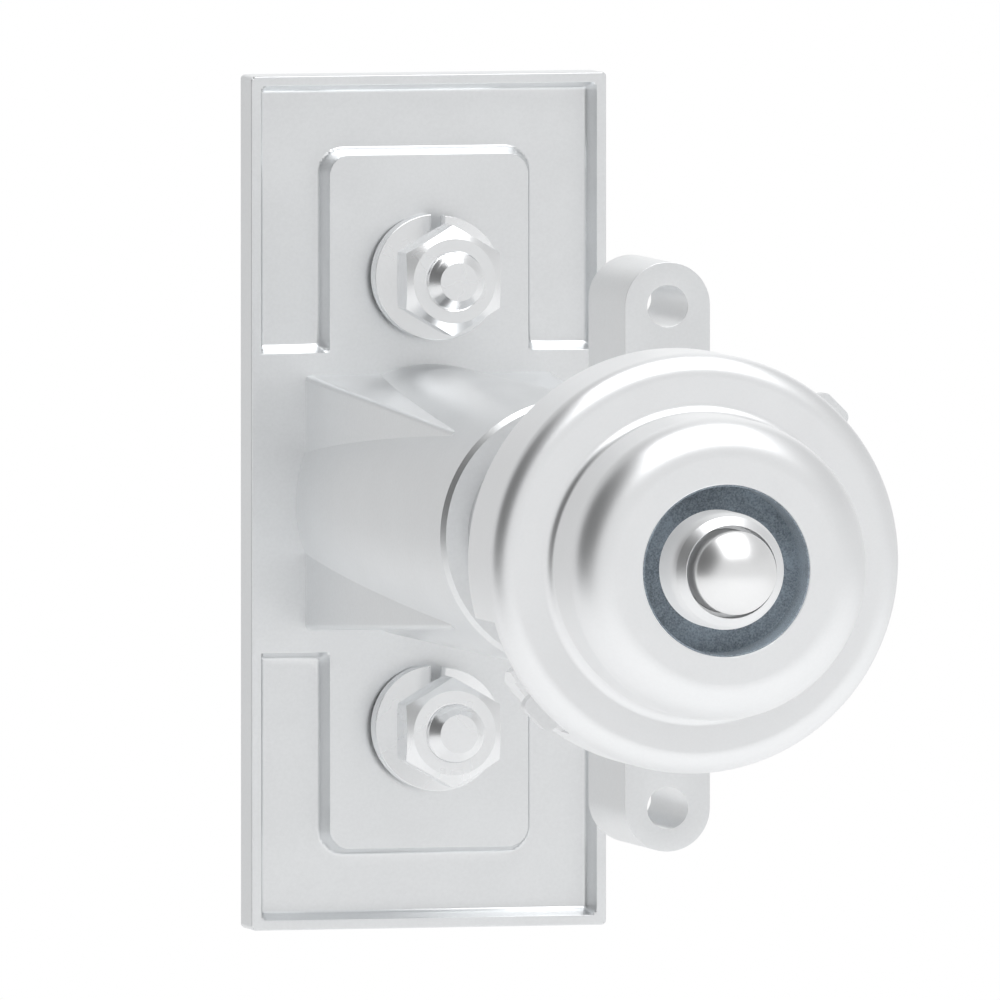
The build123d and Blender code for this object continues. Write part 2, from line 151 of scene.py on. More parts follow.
class FastenerSizes(bpy.types.PropertyGroup):
    """Sizes of the studs, split washers and nuts."""

    stud_r: length("Stud radius", "Outside radius of the stud's thread", 3.0)
    pitch: length("Thread pitch", "Pitch of the thread", 1.0)
    thread_depth: length("Thread depth", "Depth of the thread", 0.5)
    stud_chamfer: length("Stud chamfer", "Chamfer at the stud's tip", 1.0)
    head_thickness: length("Stud head", "Thickness of the stud's flush head", 1.6)
    head_bevel: length("Head bevel", "Depth of the bevel round the stud's head", 0.15)
    head_face: share("Head face", "Flat share of the radius of the stud's head", 0.96)
    washer_inner_r: length("Washer bore", "Radius of the washer's bore", 3.3)
    washer_thickness: length("Washer thickness", "Thickness of the washer's wire", 2.1)
    washer_edge_r: length("Washer edge", "Radius of the washer's edges", 0.06)
    washer_start: degrees("Washer start", "Angle of the washer's low end", 93)
    washer_end: degrees("Washer end", "Angle of the washer's high end", 447)
    nut_face_r: length("Nut face", "Radius of the flat on the nut's faces", 4.4)
    nut_corner_r: length("Nut corner", "Radius of the nut's six corners", 0.18)
    nut_cone: degrees("Nut cone", "Slant of the cone that cuts the nut's corners", 30)
    nut_gap: length("Nut gap", "Gap between the nut's bore and the stud", 0.03)
    nut_mouth: length("Nut mouth", "Width of the bevel round the nut's bore", 0.12)
    nut_bevel: length("Nut bevel", "Depth of the bevel round the nut's bore", 0.1)


class HandleSizes(bpy.types.PropertyGroup):
    """Sizes of the handle bar and its cap."""

    bar_depth: length("Bar depth", "Depth of the arms and the boss", 15.0)
    arm_width: length("Arm width", "Width of the arms", 8.94)
    arm_hole_r: length("Arm hole", "Radius of the holes in the arms", 2.14)
    arm_edge_r: length("Arm edge", "Radius of the arms' edges", 0.04)
    hole_edge_r: length("Hole edge", "Radius of the holes' edges", 0.03)
    boss_r: length("Boss radius", "Radius of the bar's boss", 16.0)
    spigot_r: length("Spigot radius", "Radius of the spigot under the cap", 18.9)
    socket_depth: length("Shank socket", "Depth of the square socket for the shank", 16.0)
    bar_bore_r: length("Bar bore", "Radius of the plunger's bore", 3.3)
    spring_well_r: length("Spring well", "Radius of the button spring's well", 5.05)
    spring_well_depth: length("Spring well depth", "Depth of the button spring's well", 5.9)
    grub_hole_r: length("Grub hole", "Radius of the tapped holes in the boss", 2.05)
    grub_depth: length("Grub place", "Distance of the tapped holes from the bar's rear", 8.0)
    lug_reach: length("Lug reach", "Distance from the axis to the ends of the bayonet lugs", 22.5)
    lug_width: length("Lug width", "Width of the bayonet lugs", 4.1)
    lug_thickness: length("Lug thickness", "Thickness of the bayonet lugs", 1.6)
    lug_corner_r: length("Lug corner", "Radius of the lugs' corners", 0.9)
    skirt_wall: length("Skirt wall", "Wall of the cap's skirt", 1.85)
    skirt_height: length("Skirt height", "Height of the cap's skirt", 11.2)
    skirt_edge_r: length("Skirt edge", "Radius of the skirt's lower edges", 0.25)
    shoulder_edge_r: length("Shoulder edge", "Radius round the shoulder's edge", 2.3)
    shoulder_root_r: length("Shoulder root", "Radius between the shoulder and the crown", 1.0)
    crown_r: length("Crown radius", "Radius of the cap's crown", 15.45)
    crown_wall: length("Crown wall", "Wall of the cap's crown", 2.45)
    crown_front: length("Crown front", "Wall of the crown's front", 1.9)
    crown_edge_r: length("Crown edge", "Radius round the crown's edge", 3.9)
    opening_r: length("Opening radius", "Radius of the crown's opening", 8.76)
    opening_edge_r: length("Opening edge", "Radius of the opening's edge", 0.12)
    slot_ledge: length("Slot ledge", "Distance from the skirt's edge to the slot's ledge", 4.6)
    slot_front: length("Slot front", "Distance from the skirt's edge to the slot's front", 8.0)
    slot_nub: length("Slot nub", "Height of the nub before the lug's seat", 1.2)
    lead_depth: length("Lead-in depth", "Depth of the notch's slanted lead-in", 3.6)
    notch_start: degrees("Notch start", "Angle at which the entry notch starts", 195.7)
    notch_end: degrees("Notch end", "Angle at which the entry notch ends", 211.1)
    nub_end: degrees("Nub end", "Angle at which the nub ends", 214.5)
    slot_end: degrees("Slot end", "Angle at which the slot ends", 233.5)
    lead_in: degrees("Lead-in", "Angle by which the lead-in widens the notch", 4.0)
    lug_angle: degrees("Lug angle", "Angle of the first bayonet lug", 225.0)


class ButtonSizes(bpy.types.PropertyGroup):
    """Sizes of the buffer ring, the guide collar and the push button."""

    ring_sink: length("Ring sink", "Depth of the ring's face below its rim", 2.3)
    lip_gap: length("Lip gap", "Gap between the ring's lip and the crown's opening", 0.02)
    lip_sink: length("Lip sink", "Depth of the ring's lip below the crown's front", 0.16)
    lip_wall: length("Lip wall", "Wall of the ring's lip", 0.16)
    collar_r: length("Collar radius", "Radius of the collar's barrel", 6.0)
    collar_flange: length("Collar flange", "Thickness of the collar's flange", 2.55)
    collar_crease_r: length("Collar crease", "Radius at which the collar's nose turns into its bevel", 5.6)
    collar_mouth_r: length("Collar mouth", "Radius of the collar's mouth", 4.68)
    collar_mouth_depth: length("Mouth depth", "Depth of the collar's mouth", 2.4)
    mouth_bevel: length("Mouth bevel", "Width and depth of the mouth's rounded edge", 0.1)
    mouth_round: length("Mouth round", "Width of the inner bevel of the mouth's edge", 0.03)
    mouth_sink: length("Mouth sink", "Depth of the mouth's edge below the collar's front", 0.02)
    nose_height: length("Nose height", "Height of the collar's rounded nose", 1.5)
    bevel_height: length("Bevel height", "Height of the collar's bevel", 0.9)
    nose_swell: length("Nose swell", "How far the collar's nose bulges past a straight cone", 0.08)
    bore_r: length("Collar bore", "Radius of the collar's bore", 4.3)
    well_r: length("Collar well", "Radius of the well for the button's flange", 5.05)
    button_r: length("Button radius", "Radius of the button", 4.25)
    dome: length("Button dome", "Height of the button's dome", 2.3)
    dome_edge_r: length("Dome edge", "Radius of the dome's edge", 0.2)
    dome_share: share("Dome share", "Share of the dome's arc that lies on its sphere", 0.965)
    edge_share: share("Edge share", "Share of the button's radius at the foot of the dome", 0.995)
    stop_gap: length("Stop gap", "Gap between the button's flange and its stop", 0.1)
    flange: length("Button flange", "Thickness of the button's stop flange", 1.4)
    edge_r: length("Small edge", "Radius of the small edges", 0.12)


class DriveSizes(bpy.types.PropertyGroup):
    """Sizes of the square shank, the sleeve, its plug and its rings."""

    shank_corner_r: length("Shank corner", "Radius of the shank's four edges", 1.0)
    tail_r: length("Tail radius", "Radius of the shank's round tail", 4.0)
    tail_length: length("Tail length", "Length of the shank's round tail", 6.4)
    barrel_r: length("Sleeve barrel", "Radius of the sleeve's barrel", 9.5)
    barrel_chamfer: length("Barrel chamfer", "Chamfer at the rear of the sleeve's barrel", 0.2)
    groove_r: length("Circlip groove", "Radius of the circlip's groove in the sleeve", 8.7)
    bore_r: length("Sleeve bore", "Radius of the sleeve's round bore", 8.0)
    flange: length("Sleeve flange", "Thickness of the sleeve's flange", 1.5)
    mouth_gap: length("Mouth gap", "Gap between the shank and the sleeve's square mouth", 0.1)
    mouth_corner_r: length("Mouth corner", "Radius of the mouth's corners", 1.1)
    mouth_chamfer: length("Mouth chamfer", "Chamfer round the sleeve's front and its mouth", 0.25)
    socket_half: length("Socket half width", "Half the width of the plug's square socket", 4.0)
    socket_corner_r: length("Socket corner", "Radius of the socket's corners", 0.15)
    socket_depth: length("Socket depth", "Depth of the plug's socket", 9.0)
    socket_chamfer: length("Socket chamfer", "Chamfer round the plug's rear and its socket", 0.2)
    washer_bore_r: length("Thrust washer bore", "Radius of the thrust washer's bore", 9.56)
    clip_bore_r: length("Circlip bore", "Inner radius of the circlip", 8.71)
    clip_edge_r: length("Circlip edge", "Radius of the circlip's edges", 0.12)
    clip_start: degrees("Circlip start", "Angle at which the circlip starts", -70)
    clip_end: degrees("Circlip end", "Angle at which the circlip ends", 250)


class SpringSizes(bpy.types.PropertyGroup):
    """Sizes of the two springs."""

    pop_wire: length("Pop-out wire", "Thickness of the pop-out spring's wire", 1.0)
    pop_turns: number("Pop-out turns", "Turns of the pop-out spring", 7.0)
    button_wire: length("Button wire", "Thickness of the button spring's wire", 0.6)
    button_turns: number("Button turns", "Turns of the button spring", 6.0)


class StudioSizes(bpy.types.PropertyGroup):
    """Places and strengths of the camera, the floor, the softbox and the hood."""

    lens: number("Lens", "Focal length of the camera", 1600.0, "CAMERA")
    frame_width: length("Frame width", "Width of the picture at the aim point", 102.88)
    aim: position("Aim", "Point at the middle of the picture", (-5.97, -57.88, 3.28))
    azimuth: degrees("Azimuth", "Camera's angle to the left of the lock's axis", 14.30)
    elevation: degrees("Elevation", "Camera's angle above the horizon", 3.404)
    clip_end: length("Clip end", "Farthest distance that the camera sees", 100000)
    floor_drop: length("Floor drop", "Distance from the axis down to the floor", 130.0)
    floor_half: length("Floor half size", "Half the size of the floor", 800.0)
    ambient: number("Ambient", "Strength of the world's light on matt surfaces", 0.64)
    softbox_place: position("Softbox place", "Middle of the overhead softbox", (55, -445, 920))
    softbox_aim: position("Softbox aim", "Point that the softbox faces", (0, -60, 0))
    softbox_width: length("Softbox width", "Width of the softbox", 880)
    softbox_depth: length("Softbox depth", "Depth of the softbox", 1120)
    key_power: number("Key power", "Power of the softbox", 7.2, "POWER")
    hood_radius: length("Hood radius", "Radius of the hood round the lock", 6000)
    hood_foot: degrees("Hood foot", "Angle of the hood's lower edge above the horizon", -21)
    hood_back: number("Hood back", "Grey of the hood at the back left", 0.71)
    hood_front: number("Hood front", "Grey of the hood at the front right", 0.79)
    hood_low: number("Hood low", "Gain of the hood towards the floor", 1.3)
    hood_top: number("Hood top", "Gain of the hood overhead", 0.85)
    hood_dark: number("Hood dark", "Gain of the hood's dark patch at the left", 0.24)
    hood_glow: number("Hood glow", "Gain of the hood at the top of the back", 1.5)


class Finishes(bpy.types.PropertyGroup):
    """Colours and gloss of the lock's surfaces."""

    casting: colour("Casting", "Satin plating of the casting", (0.795, 0.808, 0.818))
    cap: colour("Cap", "Bright plating of the cap and the collar", (0.865, 0.875, 0.885))
    button: colour("Button", "Polished plating of the button", (0.88, 0.885, 0.89))
    fastener: colour("Fasteners", "Plating of the studs, washers and nuts", (0.865, 0.875, 0.885))
    steel: colour("Machined steel", "Turned and milled steel", (0.66, 0.67, 0.68))
    spring: colour("Spring steel", "Hardened steel", (0.50, 0.51, 0.53))
    bronze: colour("Bronze", "Bearing bronze", (0.62, 0.43, 0.22))
    # Dark blue-grey of the buffer ring, which also paints the shade deep in the groove round the collar.
    buffer: colour("Buffer", "Blue-grey buffer ring", (0.252, 0.298, 0.342))
    floor: colour("Floor", "Pale studio floor", (0.93, 0.93, 0.93))
    casting_roughness: share("Casting roughness", "Roughness of the satin plating", 0.34)
    cap_roughness: share("Cap roughness", "Roughness of the bright plating", 0.36)
    button_roughness: share("Button roughness", "Roughness of the polished plating", 0.31)
    fastener_roughness: share("Fastener roughness", "Roughness of the plated fasteners", 0.27)
    steel_roughness: share("Steel roughness", "Roughness of the machined steel", 0.3)
    buffer_roughness: share("Buffer roughness", "Roughness of the buffer ring", 0.62)
    floor_roughness: share("Floor roughness", "Roughness of the studio floor", 0.9)


def height_span(node):
    """Lowest and highest height of a CAD node above the plate's back, which is measured along -Y."""
    low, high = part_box(node)
    return -high.y, -low.y


def half_width(node):
    """Half of a CAD node's width along X."""
    low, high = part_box(node)
    return (high.x - low.x) / 2


def middle_up(node):
    """Height of a CAD node's middle along Z."""
    low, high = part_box(node)
    return (low.z + high.z) / 2


def placed(x, up, height):
    """Points of the shared frame from x, the distance up along Z, and the height along -Y."""
    return np.stack(np.broadcast_arrays(x, -np.asarray(height), up), axis=-1)


def turn(count):
    """Evenly spaced angles round one turn."""
    return np.linspace(0, 2 * np.pi, count, endpoint=False)


def mesh_piece(name, points, faces):
    """Object from points and faces, with doubles merged, faces turned outwards and smooth shading."""
    mesh = bpy.data.meshes.new(name)
    mesh.from_pydata(points.tolist(), [], faces)
    tidy = bmesh.new()
    tidy.from_mesh(mesh)
    bmesh.ops.remove_doubles(tidy, verts=tidy.verts, dist=MERGE_DISTANCE)
    bmesh.ops.recalc_face_normals(tidy, faces=tidy.faces)
    tidy.to_mesh(mesh)
    tidy.free()
    piece = bpy.data.objects.new(name, mesh)
    bpy.context.scene.collection.objects.link(piece)
    return piece


def surface(name, grid, closed):
    """Piece from a grid of points whose rows are rings: neighbours are joined by quads, and the first and
    last rings are joined to each other if closed, or else each is filled with one flat face."""
    rows, columns = grid.shape[:2]
    index = np.arange(rows * columns).reshape(rows, columns)
    lower = index if closed else index[:-1]
    upper = np.roll(index, -1, axis=0) if closed else index[1:]
    quads = np.stack([lower, np.roll(lower, -1, 1), np.roll(upper, -1, 1), upper], axis=-1)
    faces = quads.reshape(-1, 4).tolist()
    if not closed:
        faces += [index[0].tolist(), index[-1].tolist()]
    return mesh_piece(name, grid.reshape(-1, 3), faces)


def ringed(name, radius, height, angles, closed, up=0.0):
    """Rings round an axis along Y: each point lies at its ring's radius, at an angle, and at a height."""
    return surface(name, placed(radius * np.cos(angles), up + radius * np.sin(angles), height), closed)


def turned(name, profile, closed, count=256, up=0.0):
    """Profile of (radius, height) points carried round an axis along Y."""
    return ringed(name, profile[:, :1], profile[:, 1:], turn(count), closed, up)


def rounded_outline(corners, radii, steps=9, support=0.06 * MM):
    """Closed outline whose corners are replaced by arcs: a point runs along the incoming side by r sin(a)
    and across it by r (1 - cos(a)). A point a little before and after each arc keeps the flats flat."""
    corners = np.asarray(corners, float)
    earlier, later = np.roll(corners, 1, 0), np.roll(corners, -1, 0)
    points = []
    for before, corner, after, radius in zip(earlier, corners, later, radii):
        if radius <= 0:
            points.append(corner[None])
            continue
        into = (corner - before) / np.linalg.norm(corner - before)
        out = (after - corner) / np.linalg.norm(after - corner)
        side = np.array([-into[1], into[0]])
        bend = math.atan2(out @ side, out @ into)
        reach = radius * math.tan(abs(bend) / 2)
        angle = np.linspace(0, abs(bend), steps)[:, None]
        swing = np.sin(angle) * into + np.sign(bend) * (1 - np.cos(angle)) * side
        arc = corner - reach * into + radius * swing
        points += [(corner - (reach + support) * into)[None], arc, (corner + (reach + support) * out)[None]]
    return np.concatenate(points)


def polygon_radius(angles, sides, apothem, corner_r):
    """Distance from the centre to a regular polygon with rounded corners: the apothem over the cosine of
    the angle from the nearest flat, and in a corner the far meeting of the ray with the corner's circle."""
    sector = 2 * np.pi / sides
    from_flat = (angles + sector / 2) % sector - sector / 2
    from_corner = sector / 2 - np.abs(from_flat)
    centre = (apothem - corner_r) / math.cos(sector / 2)
    tangent = sector / 2 - np.arctan((apothem - corner_r) * math.tan(sector / 2) / apothem)
    under_root = np.maximum(corner_r**2 - (centre * np.sin(from_corner)) ** 2, 0)
    arc = centre * np.cos(from_corner) + np.sqrt(under_root)
    return np.where(from_corner < tangent, arc, apothem / np.cos(from_flat))


def polygon_angles(sides, per_side):
    """Angles round a polygon, crowded towards its corners: the distance from a corner grows as a square."""
    step = np.linspace(-1, 1, per_side, endpoint=False)
    from_flat = np.sign(step) * (1 - (1 - np.abs(step)) ** 2) * np.pi / sides
    return (np.arange(sides)[:, None] * 2 * np.pi / sides + from_flat).ravel()


def prism(name, outline, origin, across, along, deep, start, end):
    """Outline of (across, along) points carried straight from start to end in the direction deep."""
    axes = [np.array(axis, float) for axis in (across, along, deep)]
    flat = np.array(origin) + outline[:, :1] * axes[0] + outline[:, 1:] * axes[1]
    return surface(name, np.stack([flat + start * axes[2], flat + end * axes[2]]), closed=False)


def combine(piece, other, operation):
    """Joins other to piece, or cuts it out of piece, and removes other."""
    modifier = piece.modifiers.new(operation.title(), "BOOLEAN")
    modifier.operation = operation
    modifier.solver = "EXACT"
    modifier.object = other
    graph = bpy.context.evaluated_depsgraph_get()
    result = bpy.data.meshes.new_from_object(piece.evaluated_get(graph))
    piece.modifiers.clear()
    spare = [piece.data, other.data]
    piece.data = result
    bpy.data.objects.remove(other)
    for mesh in spare:
        bpy.data.meshes.remove(mesh)
    result.name = piece.name


def straightened(mesh):
    """Takes out each point that only splits a straight edge between two faces, and each edge without
    length."""
    tidy = bmesh.new()
    tidy.from_mesh(mesh)
    spare = []
    for point in tidy.verts:
        if len(point.link_edges) == 2:
            ends = (edge.other_vert(point).co for edge in point.link_edges)
            before, after = ((end - point.co).normalized() for end in ends)
            if before.dot(after) < STRAIGHT_COSINE:
                spare.append(point)
    bmesh.ops.dissolve_verts(tidy, verts=spare)
    bmesh.ops.dissolve_degenerate(tidy, dist=MERGE_DISTANCE, edges=tidy.edges)
    tidy.to_mesh(mesh)
    tidy.free()


def finished(piece, body, slot, material, *nodes, mirrored=True):
    """Shades a piece smooth up to its sharp edges, gives it its body and its finish, and hides the CAD
    nodes that it stands for. A piece that isn't mirrored stays out of the reflections in other pieces,
    which then show the plain studio."""
    straightened(piece.data)
    piece.data.shade_smooth()
    piece.data.set_sharp_from_angle(angle=SHARP_ANGLE)
    piece.data.materials.clear()
    piece.data.materials.append(material)
    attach(piece, body)
    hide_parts(*nodes)
    piece.visible_glossy = mirrored
    return piece


def add_node(tree, kind, settings, inputs):
    """Adds a node with its settings, and sets or links its inputs."""
    node = tree.nodes.new(kind)
    for key, value in settings.items():
        setattr(node, key, value)
    for key, value in inputs.items():
        if isinstance(value, bpy.types.NodeSocket):
            tree.links.new(value, node.inputs[key])
        else:
            node.inputs[key].default_value = value
    return node


MOTTLE_SCALE = 140.0  # mottles to the metre in every finish
NOISE_RANGE = (0.3, 0.7)  # where most values of one noise lie
NOISE_SUM_RANGE = (0.75, 1.25)  # where most sums of two noises lie
METAL_SPECULAR = 0.5
RUBBER_SPECULAR = 0.25


def ramped(tree, value, start, end, first, last, interpolation="LINEAR"):
    """Output of a node that leads a value from start to end over to the values first to last."""
    places = {"From Min": start, "From Max": end, "To Min": first, "To Max": last}
    settings = {"interpolation_type": interpolation}
    return add_node(tree, "ShaderNodeMapRange", settings, {"Value": value, **places}).outputs["Result"]


def surface_material(name, tint, roughness, *, grain, grain_depth, mottle, rough_spread, metallic=1.0):
    """Finish with a mottled tint, an uneven gloss and a fine grain, from noise in object coordinates."""
    name = f"{name}_finish"
    known = bpy.data.materials.get(name)
    if known:
        return known
    material = bpy.data.materials.new(name)
    material.use_nodes = True
    tree = material.node_tree
    shader = tree.nodes["Principled BSDF"]
    place = tree.nodes.new("ShaderNodeTexCoord").outputs["Object"]

    def noise(scale, detail):
        settings = {"Vector": place, "Scale": scale, "Detail": detail}
        return add_node(tree, "ShaderNodeTexNoise", {}, settings).outputs["Fac"]

    broad = noise(MOTTLE_SCALE, detail=3.0)
    fine = noise(1 / grain, detail=2.0)
    both = add_node(tree, "ShaderNodeMath", {"operation": "ADD"}, {0: fine, 1: broad}).outputs[0]
    tones = {
        "Factor": ramped(tree, both, *NOISE_SUM_RANGE, 0.0, 1.0),
        "A": (*(max(channel * (1 - mottle), 0) for channel in tint), 1),
        "B": (*(min(channel * (1 + mottle), 1) for channel in tint), 1),
    }
    tone = add_node(tree, "ShaderNodeMix", {"data_type": "RGBA"}, tones)
    gloss = ramped(tree, broad, *NOISE_RANGE, roughness - rough_spread, roughness + rough_spread)
    bump = add_node(tree, "ShaderNodeBump", {}, {"Height": fine, "Strength": 1.0, "Distance": grain_depth})
    tree.links.new(tone.outputs["Result"], shader.inputs["Base Color"])
    tree.links.new(gloss, shader.inputs["Roughness"])
    tree.links.new(bump.outputs["Normal"], shader.inputs["Normal"])
    shader.inputs["Metallic"].default_value = metallic
    shader.inputs["Specular IOR Level"].default_value = METAL_SPECULAR if metallic else RUBBER_SPECULAR
    return material


def casting_finish():
    """Satin plating over a fine-grained casting."""
    finish = bpy.context.scene.lock_finishes
    return surface_material("satin_casting", finish.casting, finish.casting_roughness,
                            grain=0.35 * MM, grain_depth=0.006 * MM, mottle=0.02, rough_spread=0.02)


def cap_finish():
    """Bright plating of the cap and the collar."""
    finish = bpy.context.scene.lock_finishes
    return surface_material("bright_cap", finish.cap, finish.cap_roughness,
                            grain=0.3 * MM, grain_depth=0.001 * MM, mottle=0.01, rough_spread=0.015)


def button_finish():
    """Polished plating of the button."""
    finish = bpy.context.scene.lock_finishes
    return surface_material("polished_button", finish.button, finish.button_roughness,
                            grain=0.3 * MM, grain_depth=0.0005 * MM, mottle=0.008, rough_spread=0.01)


def fastener_finish():
    """Plating of the studs, washers, nuts and set screws."""
    finish = bpy.context.scene.lock_finishes
    return surface_material("plated_fastener", finish.fastener, finish.fastener_roughness,
                            grain=0.3 * MM, grain_depth=0.002 * MM, mottle=0.015, rough_spread=0.02)


def steel_finish():
    """Turned and milled steel."""
    finish = bpy.context.scene.lock_finishes
    return surface_material("machined_steel", finish.steel, finish.steel_roughness,
                            grain=0.25 * MM, grain_depth=0.003 * MM, mottle=0.03, rough_spread=0.03)


def spring_finish():
    """Hardened steel of the springs, rings and balls."""
    finish = bpy.context.scene.lock_finishes
    return surface_material("spring_steel", finish.spring, finish.steel_roughness,
                            grain=0.25 * MM, grain_depth=0.002 * MM, mottle=0.03, rough_spread=0.03)


def bronze_finish():
    """Plain bearing bronze."""
    finish = bpy.context.scene.lock_finishes
    return surface_material("bearing_bronze", finish.bronze, finish.steel_roughness,
                            grain=0.3 * MM, grain_depth=0.004 * MM, mottle=0.06, rough_spread=0.04)


def dark_ring_and_shade_finish():
    """Grainy dark blue-grey buffer ring, whose dark tone also paints the shade deep in the groove round the
    collar.
    """
    finish = bpy.context.scene.lock_finishes
    return surface_material("dark_rubber", finish.buffer, finish.buffer_roughness, metallic=0.0,
                            grain=0.17 * MM, grain_depth=0.012 * MM, mottle=0.42, rough_spread=0.05)


def graded(*spans):
    """Lines mirrored about zero, from spans on the positive side."""
    half = np.unique(np.round(np.concatenate(spans), 7))
    return np.concatenate([-half[:0:-1], half])


def box_distance(x, y, half_x, half_y, corner_r):
    """Signed distance to a rectangle with rounded corners, negative inside it."""
    over_x = np.abs(x) - half_x + corner_r
    over_y = np.abs(y) - half_y + corner_r
    outside = np.hypot(np.maximum(over_x, 0), np.maximum(over_y, 0))
    return outside + np.minimum(np.maximum(over_x, over_y), 0) - corner_r


def soft_min(a, b, softness):
    """Smaller of two values, rounded where they are nearly equal."""
    return (a + b - np.sqrt((a - b) ** 2 + softness**2)) / 2


def recess_runs(plate):
    """Distances from a recess's mouth to the start of its wall, of its floor's fillet and of its floor."""
    slope = math.pi / 2 - plate.recess_draft
    arcs = plate.recess_mouth_r + plate.recess_floor_r
    wall = (plate.recess_depth - arcs * (1 - math.cos(slope))) / math.tan(slope)
    start = plate.recess_mouth_r * math.sin(slope)
    return start, start + wall, wall + arcs * math.sin(slope)


def recess_lines(plate):
    """Distances from a recess's mouth at which the grid has its lines, evenly round the two arcs."""
    angle = np.linspace(0, math.pi / 2 - plate.recess_draft, 9)
    start, fillet, floor = recess_runs(plate)
    mouth_arc = plate.recess_mouth_r * np.sin(angle)
    return np.concatenate([mouth_arc, [(start + fillet) / 2], floor - plate.recess_floor_r * np.sin(angle)])


def recess_drop(into, plate):
    """Drop below the rim at a distance into a recess: a circle's arc at the mouth, then a straight wall,
    then an arc that ends level with the floor."""
    slope = math.pi / 2 - plate.recess_draft
    start, fillet, floor = recess_runs(plate)
    mouth_r, floor_r = plate.recess_mouth_r, plate.recess_floor_r
    mouth = mouth_r - np.sqrt(mouth_r**2 - np.clip(into, 0, start) ** 2)
    wall = np.clip(into - start, 0, fillet - start) * math.tan(slope)
    foot = np.sqrt(floor_r**2 - np.clip(floor - into, 0, floor - fillet) ** 2) - floor_r * math.cos(slope)
    return mouth + wall + foot


def plate_front(x, y, half_x, half_y, plate):
    """Height of the plate's front: the rim's level, less the drop into the recesses, less a quarter circle
    along the outer edge."""
    from_rim = -box_distance(x, y, half_x - plate.rim, half_y - plate.rim, plate.recess_corner_r)
    from_pad = box_distance(x, y, plate.pad_half, plate.pad_reach, plate.pad_corner_r)
    from_band = np.abs(y) - plate.band_half
    inner = soft_min(from_pad, from_band, plate.recess_corner_r / 2)
    drop = recess_drop(np.minimum(from_rim, inner), plate)
    from_edge = -box_distance(x, y, half_x, half_y, plate.corner_r)
    over = np.clip(plate.edge_r - from_edge, 0, plate.edge_r)
    return plate.thickness - drop - (plate.edge_r - np.sqrt(plate.edge_r**2 - over**2))


def plate_slab(plate, half_x, half_y):
    """Closed slab: a front sheet on a grid whose lines crowd at the recess walls, sides, and one flat back.
    In the plate's corners the square grid is drawn in to a quarter circle."""
    steps = recess_lines(plate)
    run = steps[-1]
    mouth_x, mouth_y = half_x - plate.rim, half_y - plate.rim
    corner_r, pad_r = plate.corner_r, plate.pad_corner_r
    x_lines = graded(
        np.linspace(0, plate.pad_half - pad_r, 8),
        np.linspace(plate.pad_half - pad_r, plate.pad_half, 20),
        plate.pad_half + steps,
        np.linspace(plate.pad_half + run, mouth_x - run, 8),
        mouth_x - steps,
        np.linspace(mouth_x, half_x - corner_r, 3),
        np.linspace(half_x - corner_r, half_x, 9),
    )
    y_lines = graded(
        np.linspace(0, plate.band_half, 8),
        plate.band_half + steps,
        np.linspace(plate.band_half + run, plate.pad_reach - pad_r, 20),
        np.linspace(plate.pad_reach - pad_r, plate.pad_reach, 20),
        plate.pad_reach + steps,
        np.linspace(plate.pad_reach + run, mouth_y - run, 6),
        mouth_y - steps,
        np.linspace(mouth_y, half_y - corner_r, 3),
        np.linspace(half_y - corner_r, half_y, 9),
    )
    x, y = np.meshgrid(x_lines, y_lines)
    height = plate_front(x, y, half_x, half_y, plate)
    over_x = np.maximum(np.abs(x) - half_x + plate.corner_r, 0)
    over_y = np.maximum(np.abs(y) - half_y + plate.corner_r, 0)
    draw = np.maximum(over_x, over_y) / np.maximum(np.hypot(over_x, over_y), MERGE_DISTANCE)
    draw = np.where((over_x > 0) & (over_y > 0), draw, 1)
    x = x - np.sign(x) * over_x * (1 - draw)
    y = y - np.sign(y) * over_y * (1 - draw)
    front = placed(x, y, height).reshape(-1, 3)
    index = np.arange(x.size).reshape(x.shape)
    corners = [index[:-1, :-1], index[:-1, 1:], index[1:, 1:], index[1:, :-1]]
    sheet = np.stack(corners, axis=-1).reshape(-1, 4)
    border = np.concatenate([index[0, :-1], index[:-1, -1], index[-1, :0:-1], index[:0:-1, 0]])
    back = front[border] * (1, 0, 1)
    below = x.size + np.arange(border.size)
    sides = np.stack([border, np.roll(border, -1), np.roll(below, -1), below], axis=-1)
    faces = sheet.tolist() + sides.tolist() + [below.tolist()]
    return mesh_piece("plate_casting", np.concatenate([front, back]), faces)


def hub_cone(plate, hub_front):
    """Round hub with a slight draft and a chamfered end."""
    profile = [
        (plate.hub_root_r, plate.thickness / 2),
        (plate.hub_root_r, plate.thickness),
        (plate.hub_end_r, hub_front - plate.hub_chamfer),
        (plate.hub_end_r - plate.hub_chamfer, hub_front),
    ]
    return turned("hub", np.array(profile), closed=False, count=360)


def hub_web(plate):
    """Square web whose half width falls in a straight line until its corners all but sink into the hub."""
    angles = polygon_angles(4, 48)
    end_half = (plate.hub_end_r + (math.sqrt(2) - 1) * plate.web_edge_r) / math.sqrt(2) + plate.web_tip
    halves = np.array([[plate.web_half], [plate.web_half], [end_half]])
    heights = plate.thickness + np.array([[-plate.thickness / 2], [0], [plate.web_end]])
    radius = polygon_radius(angles, 4, halves, plate.web_edge_r)
    return ringed("web", radius, heights, angles, closed=False)


